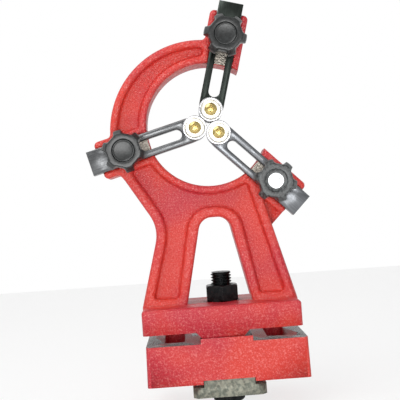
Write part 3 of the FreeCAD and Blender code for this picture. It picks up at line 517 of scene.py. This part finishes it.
# %% Thick red paint over a casting
CRIMSON = (0.47, 0.006, 0.022)
ORANGE_RED = (0.60, 0.022, 0.010)
# Pale pink painted highlight: the glints of light on the pebbled paint.
FLECK = (0.98, 0.42, 0.38)
MILLED = (0.42, 0.38, 0.33)
# Near-black bare metal: painted shade of the gap between the riser's top and the foot.
DARK_MILLED = (0.035, 0.036, 0.035)


def red_paint(name, bare, bare_colour, bare_roughness):
    """Pebbled paint with painted glints of light; bare(tree, place) gives the mask of unpainted metal."""
    material, tree, shader, place = new_finish(name, Specular_IOR_Level=0.55, Coat_Weight=0.0)
    skin = put_group(tree, cast_skin, {"Place": place})
    wear = put_group(tree, worn_edge, {"Width": 0.0005})
    mask = bare(tree, place)
    red = mix_colours(tree, skin.outputs["Tone"], CRIMSON, ORANGE_RED)
    # Painted highlight: glints of light mixed into the red as a pale pink.
    share = put(tree, "ShaderNodeMath", {0: skin.outputs["Fleck"], 1: 0.35},
                operation="MULTIPLY").outputs[0]
    red = mix_colours(tree, share, red, FLECK)
    colour = mix_colours(tree, mask, red, bare_colour)
    tree.links.new(colour, shader.inputs["Base Color"])
    tree.links.new(mask, shader.inputs["Metallic"])
    painted = ramp(tree, skin.outputs["Fleck"], 0.0, 1.0, 0.42, 0.22)
    rough = put(tree, "ShaderNodeMix", {"Factor": mask, "A": painted, "B": bare_roughness})
    tree.links.new(rough.outputs[0], shader.inputs["Roughness"])
    tree.links.new(bump(tree, skin.outputs["Height"], 0.00035), shader.inputs["Normal"])
    return material


def channel_mask(tree, place):
    """Bare metal in the three milled channels of the casting."""
    total = None
    depth = -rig.box("upper_finger")[1].y
    for name in FINGERS:
        mask = put_group(tree, milled_channel, {
            "Place": place, "Axis point": tuple(work_axis), "Outward": tuple(outward[name]),
            "Sideways": tuple(sideways[name])}).outputs["Mask"]
        total = mask if total is None else put(tree, "ShaderNodeMath", {0: total, 1: mask},
                                               operation="MAXIMUM").outputs[0]
    front = put(tree, "ShaderNodeSeparateXYZ", {0: place}).outputs["Y"]
    sunk = put(tree, "ShaderNodeMath", {0: front, 1: -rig.box("frame_casting")[0].y * -0.0 - 0.0105},
               operation="GREATER_THAN").outputs[0]
    shallow = put(tree, "ShaderNodeMath", {0: front, 1: -depth + 0.0002},
                  operation="LESS_THAN").outputs[0]
    return put(tree, "ShaderNodeMath", {0: total, 1: put(
        tree, "ShaderNodeMath", {0: sunk, 1: shallow}, operation="MULTIPLY").outputs[0]},
        operation="MULTIPLY").outputs[0]


def riser_top_mask(tree, place):
    """Bare metal on the riser's planed top, between its painted sides, where the painted shade of the gap under the
    foot goes.
    """
    height = put(tree, "ShaderNodeSeparateXYZ", {0: place}).outputs["Z"]
    facing = put(tree, "ShaderNodeNewGeometry").outputs["Normal"]
    up = put(tree, "ShaderNodeSeparateXYZ", {0: facing}).outputs["Z"]
    high = put(tree, "ShaderNodeMath", {0: height, 1: 0.016}, operation="GREATER_THAN")
    level = put(tree, "ShaderNodeMath", {0: up, 1: 0.9}, operation="GREATER_THAN")
    return put(tree, "ShaderNodeMath", {0: high.outputs[0], 1: level.outputs[0]},
               operation="MULTIPLY").outputs[0]


casting_paint = red_paint("textured_red_paint", channel_mask, MILLED, 0.38)
# The riser's top takes the near-black painted shade of the gap under the foot.
riser_paint = red_paint("riser_red_paint", riser_top_mask, DARK_MILLED, 0.25)

# %% Blued steel, ground along the finger


def blued_steel(name, across, tint, lines):
    """Dark steel with grain along the finger, and bright edges that are rubbed and carry a painted highlight."""
    material, tree, shader, place = new_finish(name, Metallic=1.0)
    grain = put_group(tree, ground_grain, {"Place": place, "Across": tuple(across),
                                           "Lines per metre": lines})
    wear = put_group(tree, worn_edge, {"Width": 0.0005})
    dark = tuple(0.6 * part for part in tint)
    colour = mix_colours(tree, grain.outputs["Shade"], dark, tint)
    # Painted highlight and wear: the edges are mixed to a light grey.
    colour = mix_colours(tree, wear.outputs["Wear"], colour, (0.55, 0.56, 0.56))
    tree.links.new(colour, shader.inputs["Base Color"])
    cloud = put_group(tree, smudges, {"Place": place, "Clouds per metre": 90.0})
    tree.links.new(ramp(tree, cloud.outputs["Amount"], 0.0, 1.0, 0.30, 0.45),
                   shader.inputs["Roughness"])
    tree.links.new(bump(tree, grain.outputs["Height"], 0.00002), shader.inputs["Normal"])
    return material


# One steel in three tones for the three like fingers: the upper one darker as painted shade, the left and lower ones
# lighter as painted light.
FINGER_TINT = {"upper": (0.055, 0.065, 0.058), "left": (0.20, 0.205, 0.21),
               "lower": (0.25, 0.26, 0.275)}
finger_steel = {name: blued_steel(f"blued_steel_{name}", sideways[name], FINGER_TINT[name],
                                  2600.0) for name in FINGERS}

# %% Other metals


def plain_metal(name, colour, rough, cloud_scale=200.0, grain=None):
    """A metal whose roughness and tone drift a little."""
    material, tree, shader, place = new_finish(name, Metallic=1.0)
    cloud = put_group(tree, smudges, {"Place": place, "Clouds per metre": cloud_scale})
    dull = tuple(0.8 * part for part in colour)
    tree.links.new(mix_colours(tree, cloud.outputs["Amount"], colour, dull),
                   shader.inputs["Base Color"])
    tree.links.new(ramp(tree, cloud.outputs["Amount"], 0.0, 1.0, rough, rough + 0.12),
                   shader.inputs["Roughness"])
    return material


def black_oxide(name):
    """Black oxide on steel: dark, a little oily, rubbed bright on the sharpest edges."""
    material, tree, shader, place = new_finish(name, Metallic=0.85)
    cloud = put_group(tree, smudges, {"Place": place, "Clouds per metre": 260.0})
    wear = put_group(tree, worn_edge, {"Width": 0.0003})
    colour = mix_colours(tree, cloud.outputs["Amount"], (0.010, 0.011, 0.012),
                         (0.022, 0.023, 0.024))
    colour = mix_colours(tree, wear.outputs["Wear"], colour, (0.10, 0.10, 0.10))
    tree.links.new(colour, shader.inputs["Base Color"])
    tree.links.new(ramp(tree, cloud.outputs["Amount"], 0.0, 1.0, 0.26, 0.42),
                   shader.inputs["Roughness"])
    return material


def sawn_steel(name):
    """Rough, greenish grey bar stock with saw lines."""
    material, tree, shader, place = new_finish(name, Metallic=0.75)
    grain = put_group(tree, ground_grain, {"Place": place, "Across": (0.93, 0.0, 0.37),
                                           "Lines per metre": 900.0})
    cloud = put_group(tree, smudges, {"Place": place, "Clouds per metre": 380.0})
    colour = mix_colours(tree, cloud.outputs["Amount"], (0.13, 0.14, 0.115),
                         (0.26, 0.26, 0.21))
    tree.links.new(colour, shader.inputs["Base Color"])
    tree.links.new(ramp(tree, grain.outputs["Shade"], 0.0, 1.0, 0.40, 0.65),
                   shader.inputs["Roughness"])
    tree.links.new(bump(tree, grain.outputs["Height"], 0.00012), shader.inputs["Normal"])
    return material


bearing_steel = plain_metal("bearing_steel", (0.62, 0.62, 0.63), 0.16)
shield_metal = plain_metal("shield_metal", (0.86, 0.83, 0.72), 0.34)
# Near-black steel for the bearing's inner ring: painted shade of the recess round the screw head.
dark_recess = plain_metal("recess_shade_steel", (0.05, 0.045, 0.03), 0.35)
brass_screw = plain_metal("yellow_zinc_screw", (0.70, 0.55, 0.22), 0.24, 600.0)
bright_zinc = plain_metal("zinc_steel", (0.55, 0.56, 0.57), 0.25)
oxide_steel = black_oxide("black_oxide_steel")
plate_steel = sawn_steel("rough_steel")

# %% Moulded black plastic


def moulded_plastic(name, scuffs):
    """Black plastic with a fine matt grain; scuffs from 0 to 1 rub it grey."""
    material, tree, shader, place = new_finish(name, Specular_IOR_Level=0.6)
    cloud = put_group(tree, smudges, {"Place": place, "Clouds per metre": 500.0})
    rubbed = put(tree, "ShaderNodeMath", {0: cloud.outputs["Amount"], 1: scuffs},
                 operation="MULTIPLY").outputs[0]
    tree.links.new(mix_colours(tree, rubbed, (0.010, 0.011, 0.011), (0.10, 0.11, 0.11)),
                   shader.inputs["Base Color"])
    tree.links.new(ramp(tree, rubbed, 0.0, 1.0, 0.30, 0.5), shader.inputs["Roughness"])
    grain = put(tree, "ShaderNodeTexNoise", {"Vector": place, "Scale": 1800.0, "Detail": 2.0})
    tree.links.new(bump(tree, grain.outputs["Fac"], 0.00002 + 0.00008 * scuffs),
                   shader.inputs["Normal"])
    return material


black_plastic = moulded_plastic("black_plastic", 0.10)
scuffed_plastic = moulded_plastic("scuffed_plastic", 0.9)
cap_plastic = moulded_plastic("cap_plastic", 0.15)

# %% [markdown]
# ## Surfaces as arrays
# A turned piece is a profile carried round an axis: the point for angle a and profile place
# (radius, front) is centre + radius (outward cos a + sideways sin a) + front.  The whole grid is
# worked out at once with numpy, and the edges where it closes on itself are merged afterwards.

# %% From a grid to a piece


def round_corners(profile, radius, steps=5):
    """Replace each corner of a closed profile by an arc, as wide as radius and its sides allow.

    The arc is the quadratic curve from one side to the other with the corner as its handle.
    """
    profile = np.array(profile, float)
    before, after = np.roll(profile, 1, axis=0), np.roll(profile, -1, axis=0)
    t = np.linspace(0, 1, steps)[None, :, None]
    start, end = before - profile, after - profile
    lengths = [np.linalg.norm(side, axis=1)[:, None] for side in (start, end)]
    start = profile + start / lengths[0] * np.minimum(radius, 0.45 * lengths[0])
    end = profile + end / lengths[1] * np.minimum(radius, 0.45 * lengths[1])
    curve = ((1 - t) ** 2 * start[:, None] + 2 * t * (1 - t) * profile[:, None]
             + t ** 2 * end[:, None])
    curve = curve.reshape(-1, 2)
    curve[:, 0] = np.maximum(curve[:, 0], 0)
    return curve


def grid_faces(rows, columns):
    """The quads of a grid that closes on itself in both directions."""
    across, down = np.meshgrid(np.arange(rows), np.arange(columns), indexing="ij")
    a = across * columns + down
    b = (across + 1) % rows * columns + down
    c = (across + 1) % rows * columns + (down + 1) % columns
    d = across * columns + (down + 1) % columns
    return np.stack([a, b, c, d], axis=-1).reshape(-1, 4)


def add_piece(name, points, body, material, slot, replaced=(), sharp=38.0):
    """A closed grid of points (rows, columns, 3) as a piece that rides on a body."""
    rows, columns = points.shape[:2]
    mesh = bpy.data.meshes.new(name)
    mesh.from_pydata(points.reshape(-1, 3), [], grid_faces(rows, columns).tolist())
    return finish_piece(name, mesh, body, material, slot, replaced, sharp)


def finish_piece(name, mesh, body, material, slot, replaced, sharp):
    """Merge what meets, turn faces outwards, smooth, and hand the piece to its body."""
    work = bmesh.new()
    work.from_mesh(mesh)
    bmesh.ops.remove_doubles(work, verts=work.verts, dist=2e-6)
    bmesh.ops.dissolve_degenerate(work, edges=work.edges, dist=1e-7)
    bmesh.ops.recalc_face_normals(work, faces=work.faces)
    work.to_mesh(mesh)
    work.free()
    mesh.shade_smooth()
    mesh.set_sharp_from_angle(angle=math.radians(sharp))
    mesh.materials.append(material)
    piece = bpy.data.objects.new(name, mesh)
    scene.collection.objects.link(piece)
    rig.ride(piece, body)
    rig.slot(piece, slot)
    if replaced:
        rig.replaces(piece, *replaced)
    return piece


def turn(profile, centre, first, second, toward, count=96, change=None):
    """Carry (radius, front) pairs round an axis; change(angle, radius, front) reshapes them."""
    profile = np.array(profile, float)
    angle = np.linspace(0, 2 * np.pi, count, endpoint=False)[:, None]
    radius = np.broadcast_to(profile[None, :, 0], (count, len(profile)))
    front = np.broadcast_to(profile[None, :, 1], (count, len(profile)))
    if change is not None:
        radius, front = change(angle, radius, front)
    first, second, toward = (np.asarray(way, float) for way in (first, second, toward))
    spoke = np.cos(angle)[..., None] * first + np.sin(angle)[..., None] * second
    return np.asarray(centre, float) + radius[..., None] * spoke + front[..., None] * toward


def turn_on_finger(name, profile, centre, count=96, change=None):
    """The same about a front-to-back axis, with angle 0 pointing out along the finger."""
    flat = np.array(centre, float)
    flat[1] = 0.0
    return turn(np.array(profile) * MM, flat, outward[name], sideways[name], FRONT, count, change)


# %% [markdown]
# ## Bearings
# A shielded bearing shows three rings from the front: the bright outer ring with its bevelled
# rim, the pale pressed shield a little below it, and the narrow inner ring round the screw.
# The outer ring and the shields are profiles turned about the roller's axis; the inner ring keeps the frame's shape.

# %% Outer ring and shields


def add_bearing(name):
    """The rings and shields that can be seen, in place of the plain ones."""
    width, back, front = (size / MM for size in reach(f"{name}_bearing_outer_ring"))
    outer = width / 2
    bore = reach(f"{name}_bearing_front_shield")[0] / MM / 2
    land = reach(f"{name}_bearing_inner_ring")[0] / MM / 2
    centre = roller_centre[name]
    middle = (back + front) / 2
    ring = round_corners([(outer, back), (outer, front), (bore + 0.55, front),
                          (bore + 0.45, front - 0.35), (bore, front - 0.35),
                          (bore, front - 1.4), (bore + 0.4, middle), (bore, back + 1.4),
                          (bore, back + 0.35), (bore + 0.45, back + 0.35),
                          (bore + 0.55, back)], 0.3)
    add_piece(f"{name}_bearing_ring", turn_on_finger(name, ring, centre, 128),
              f"{name}_roller", bearing_steel, "bearing_steel",
              [f"{name}_bearing_outer_ring"])
    for side, face, inwards in (("front", front, -1.0), ("rear", back, 1.0)):
        shield = round_corners([
            (land + 0.15, face + inwards * 0.42), (land + 0.15, face + inwards * 0.12),
            (land + 0.75, face + inwards * 0.12), (bore - 0.45, face + inwards * 0.14),
            (bore - 0.30, face + inwards * 0.30), (bore - 0.02, face + inwards * 0.30),
            (bore - 0.02, face + inwards * 0.50), (bore - 0.6, face + inwards * 0.44)], 0.12)
        add_piece(f"{name}_{side}_shield", turn_on_finger(name, shield, centre, 96),
                  f"{name}_roller", shield_metal, "shield_metal",
                  [f"{name}_bearing_{side}_shield"])


for name in FINGERS:
    add_bearing(name)

# %% [markdown]
# ## Roller screws
# The pan head is a low dome.  Its cross recess is a dip in the same surface: the front of a point
# falls where it is close to one of the two arms of the cross, and the fall fades at the ends of
# the arms.

# %% Pan head screws with a cross recess


def smooth_step(value, low, high):
    """0 below low, 1 above high, and a smooth curve between."""
    t = np.clip((value - low) / (high - low), 0, 1)
    return t * t * (3 - 2 * t)


def add_roller_screw(name):
    """Head from the middle of its crown to its rim, then the shank."""
    width, back, front = (size / MM for size in reach(f"{name}_roller_screw"))
    head = width / 2
    under = reach(f"{name}_bearing_inner_ring")[2] / MM
    shank = 1.98
    rings = np.linspace(0, 1, 26)
    crown = np.stack([head * 0.9 * rings, front - 1.1 * rings ** 3], axis=1)
    rest = round_corners([(head * 0.9, front - 1.1), (head, front - 1.5), (head, under),
                          (shank, under), (shank, back + 0.4), (shank - 0.4, back),
                          (0, back)], 0.2, 4)[4:-4]
    profile = np.concatenate([crown, rest, [(0, back)]])

    def recess(angle, radius, height):
        x, y = radius * np.cos(angle) / MM, radius * np.sin(angle) / MM
        dip = 0
        for along, across in ((x, y), (y, x)):
            half_width = 0.62 - 0.10 * np.abs(along)
            dip = np.maximum(dip, (1 - smooth_step(np.abs(across), half_width - 0.18,
                                                   half_width + 0.12))
                             * (1 - smooth_step(np.abs(along), 1.5, 2.5)))
        on_crown = height / MM > front - 1.2
        return radius, height - np.where(on_crown, 1.5 * dip, 0) * MM

    points = turn_on_finger(name, profile, roller_centre[name], 144, recess)
    add_piece(f"{name}_pan_head_screw", points, f"{name}_finger", brass_screw,
              "yellow_zinc_screw", [f"{name}_roller_screw"], sharp=50)


for name in FINGERS:
    add_roller_screw(name)

# %% [markdown]
# ## Star knobs
# A moulded knob is a star at the back that turns into a nearly round face at the front.  One
# profile carries two radii at each height, one at the lobes and one in the hollows, and the
# angle decides between them.  The hollows are arcs of circles, so the curve between lobe and
# hollow is worked out from the circle's own formula.

# %% The star's outline
LOBES = 6


def hollow_share(angle):
    """0 on a lobe and 1 in the middle of a hollow, along the arc of the hollow's circle.

    A circle of radius s at distance d cuts the ray at angle f from its centre line at
    d cos f - sqrt(s^2 - (d sin f)^2).
    """
    distance, size, tip = 17.4, 6.0, 14.6
    pitch = 2 * np.pi / LOBES
    away = (angle + pitch / 2) % pitch - pitch / 2
    inside = np.maximum(size ** 2 - (distance * np.sin(away)) ** 2, 0)
    radius = np.where(inside > 0, distance * np.cos(away) - np.sqrt(inside), tip)
    share = np.clip((tip - radius) / (tip - (distance - size)), 0, 1)
    return smooth_step(share, -0.15, 1.0)


# %% One knob
KNOB_TURN = {"upper": 0.0, "left": 0.0, "lower": 0.0}


def add_knob(name, with_cap):
    """Grip, cap or open cavity, and washer."""
    width, back, front = (size / MM for size in reach(f"{name}_knob_grip"))
    lobe_back = back + 5.6
    rows = np.array([  # radius at a lobe, radius in a hollow, front
        (3.1, 3.1, back), (6.9, 6.9, back), (7.3, 7.3, back + 0.4),
        (7.4, 7.4, lobe_back - 1.3), (7.7, 7.6, lobe_back - 0.5), (8.6, 8.2, lobe_back),
        (12.6, 10.0, lobe_back + 0.1), (13.8, 10.7, lobe_back + 0.35),
        (14.35, 11.1, lobe_back + 0.9), (14.6, 11.3, lobe_back + 1.8),
        (14.55, 11.4, lobe_back + 3.2), (14.2, 11.4, lobe_back + 4.6),
        (13.5, 11.35, lobe_back + 5.8), (12.7, 11.2, front - 1.7),
        (12.2, 11.05, front - 0.95), (11.85, 10.85, front - 0.4),
        (11.45, 10.6, front - 0.1), (10.9, 10.3, front), (9.4, 9.3, front - 0.02),
        (7.9, 7.9, front), (7.6, 7.6, front - 0.1), (7.4, 7.4, front - 0.4),
        (7.37, 7.37, front - 1.9), (7.2, 7.2, front - 2.0), (5.1, 5.1, front - 2.05),
        (5.05, 5.05, front - 7.0), (3.1, 3.1, front - 7.0)])
    lobe, hollow = rows[:, 0] * MM, rows[:, 1] * MM
    turned = KNOB_TURN[name] * math.pi / 180

    def star(angle, radius, height):
        share = hollow_share(angle - turned)
        return lobe[None, :] * (1 - share) + hollow[None, :] * share, height

    profile = rows[:, [0, 2]]
    points = turn_on_finger(name, profile, knob_centre[name], 240, star)
    plastic = black_plastic if with_cap else scuffed_plastic
    add_piece(f"{name}_star_knob", points, f"{name}_knob", plastic, "black_plastic",
              [f"{name}_knob_grip"], sharp=60)
    washer_width, washer_back, washer_front = (
        size / MM for size in reach(f"{name}_knob_washer"))
    washer = round_corners([(3.05, washer_back), (3.05, washer_front),
                            (washer_width / 2, washer_front), (washer_width / 2, washer_back)],
                           0.25)
    add_piece(f"{name}_washer", turn_on_finger(name, washer, knob_centre[name], 72),
              f"{name}_washer", bright_zinc, "zinc_steel", [f"{name}_knob_washer"])
    if with_cap:
        seat = front - 2.0
        ways = np.linspace(0, 1, 14)
        dish = np.stack([6.2 * ways, seat + 0.75 + 0.55 * ways ** 2], axis=1)
        rim = [(6.5, seat + 1.52), (6.8, seat + 1.6), (7.1, seat + 1.5), (7.28, seat + 1.2),
               (7.3, seat + 0.1), (7.1, seat), (0, seat)]
        cap = np.concatenate([dish, rim])
        add_piece(f"{name}_dished_cap", turn_on_finger(name, cap, knob_centre[name], 120),
                  f"{name}_knob", cap_plastic, "cap_plastic", [f"{name}_knob_cap"], sharp=60)


for name in FINGERS:
    add_knob(name, f"{name}_knob_cap" in frame["nodes"])
print("knobs made:", len(FINGERS))

# %% [markdown]
# ## Bolt and nut
# A thread is a groove that climbs one pitch in each turn.  On the grid of angle a and height z
# the radius falls where z / pitch - a / 2 pi is near a whole number, so the crests join up after
# a full turn without a seam.

# %% The bolt's thread
PITCH = 2.0
THREAD_DEPTH = 1.15


def add_clamp_bolt():
    """Head, plain shank and the threaded end that stands out of the nut."""
    low, high = (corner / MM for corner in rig.box("clamp_bolt"))
    shank = 7.0
    flats = (high.x - low.x) / 2
    head_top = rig.box("clamp_plate")[0].z / MM
    heights = np.arange(40.0, high.z - 0.2, 0.125)
    profile = np.concatenate([
        [(0, low.z), (flats * 0.93, low.z), (flats * 1.0, low.z + 0.6),
         (flats * 1.2, low.z + 2.0), (flats * 1.2, head_top), (shank, head_top)],
        np.stack([np.full(len(heights), shank), heights], axis=1),
        [(shank - 0.3, high.z - 0.15), (shank - 1.1, high.z), (0, high.z)]])

    def shape(angle, radius, height):
        z, r = height / MM, radius / MM
        turned = np.abs((z / PITCH - angle / (2 * np.pi)) % 1.0 - 0.5) * 2
        groove = THREAD_DEPTH * smooth_step(turned, 0.12, 0.90)
        run_out = smooth_step(z, 41.0, 44.0) * (r > 6.0)
        bevel = np.minimum(shank, shank + 0.9 * (high.z - 1.0 - z))
        threaded = np.minimum(shank - groove * run_out, np.where(z > 40.5, bevel, 99))
        corner = (angle - np.pi / 2 + np.pi / 6) % (np.pi / 3) - np.pi / 6
        hexagon = flats / np.cos(np.pi / 6 - np.abs(corner))
        in_head = z < head_top + 0.01
        cone = flats + (z - low.z) * math.tan(math.radians(60))
        head = np.minimum(r, np.where(z > low.z + 0.01, np.minimum(hexagon, cone), r))
        threaded = np.where(r < shank - 0.2, r, threaded)
        return np.where(in_head, head, threaded) * MM, height

    points = turn(profile * MM, (0, 0, 0), (1, 0, 0), (0, 1, 0), (0, 0, 1), 144, shape)
    add_piece("hexagon_bolt", points, "bed_clamp", oxide_steel, "black_oxide_steel",
              ["clamp_bolt"], sharp=40)


def add_clamp_nut():
    """A hexagon whose corners are turned off by a cone at both ends."""
    low, high = (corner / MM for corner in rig.box("clamp_nut"))
    flats = (high.x - low.x) / 2
    outline = [(7.05, low.z), (flats - 0.4, low.z), (flats * 1.02, low.z + 0.02)]
    sides = [(20.0, z) for z in np.linspace(low.z + 0.05, high.z - 0.05, 40)]
    outline += sides + [(flats * 1.02, high.z - 0.02), (flats - 0.5, high.z),
                        (8.1, high.z), (7.05, high.z - 0.9)]

    def shape(angle, radius, height):
        z, r = height / MM, radius / MM
        corner = (angle - np.pi / 2 + np.pi / 6) % (np.pi / 3) - np.pi / 6
        hexagon = flats / np.cos(np.pi / 6 - np.abs(corner))
        cone = flats - 0.3 + np.minimum(z - low.z, high.z - z) * math.tan(math.radians(62))
        return np.minimum(r, np.minimum(hexagon, np.maximum(cone, 7.0))) * MM, height

    points = turn(np.array(outline) * MM, (0, 0, 0), (1, 0, 0), (0, 1, 0), (0, 0, 1), 180,
                  shape)
    add_piece("hexagon_nut", points, "clamp_nut", oxide_steel, "black_oxide_steel",
              ["clamp_nut"], sharp=30)


add_clamp_bolt()
add_clamp_nut()

# %% [markdown]
# ## Castings and fingers
# The large pieces keep the shape that the construction gave them.  The frame's meshes are loose
# triangles, which look faceted on rounded rims, so each piece is a copy with its triangles
# joined, which lets the light run smoothly over the curves.

# %% Joined copies of the large pieces


def dress(node, name, body, material, slot, sharp=32.0):
    """A joined copy of a node's mesh stands in for it, with the given finish."""
    mesh = frame["nodes"][node].data.copy()
    mesh.name = name
    mesh.materials.clear()
    work = bmesh.new()
    work.from_mesh(mesh)
    bmesh.ops.remove_doubles(work, verts=work.verts, dist=1e-6)
    work.to_mesh(mesh)
    work.free()
    mesh.shade_smooth()
    mesh.set_sharp_from_angle(angle=math.radians(sharp))
    mesh.materials.append(material)
    piece = bpy.data.objects.new(name, mesh)
    scene.collection.objects.link(piece)
    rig.ride(piece, body)
    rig.slot(piece, slot)
    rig.replaces(piece, node)
    return piece


dress("frame_casting", "painted_casting", "stand", casting_paint, "textured_red_paint")
dress("riser_block", "painted_riser", "stand", riser_paint, "textured_red_paint")
dress("clamp_plate", "tee_clamp_plate", "bed_clamp", plate_steel, "rough_steel")
for name in FINGERS:
    dress(f"{name}_finger", f"{name}_slotted_finger", f"{name}_finger", finger_steel[name],
          "gunmetal_steel")

# %% Finishes for the nodes that stay as they are
# The bearing's inner ring takes the near-black painted shade of its recess.
KEPT = {"bearing_inner_ring": dark_recess, "bearing_balls": bearing_steel,
        "bearing_cage": bright_zinc, "roller_spacer": bright_zinc, "knob_screw": bright_zinc}
for name in FINGERS:
    for part, material in KEPT.items():
        mesh = frame["nodes"][f"{name}_{part}"].data
        mesh.materials.clear()
        mesh.materials.append(material)

# %% Write the two boxes and finish
whole_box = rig.bounds()
with open("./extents.json", "w") as file:
    json.dump({"cad": [list(corner) for corner in cad_box],
               "visual": [list(corner) for corner in whole_box]}, file)
print("visual box in mm:", [[round(v / MM, 2) for v in corner] for corner in whole_box])
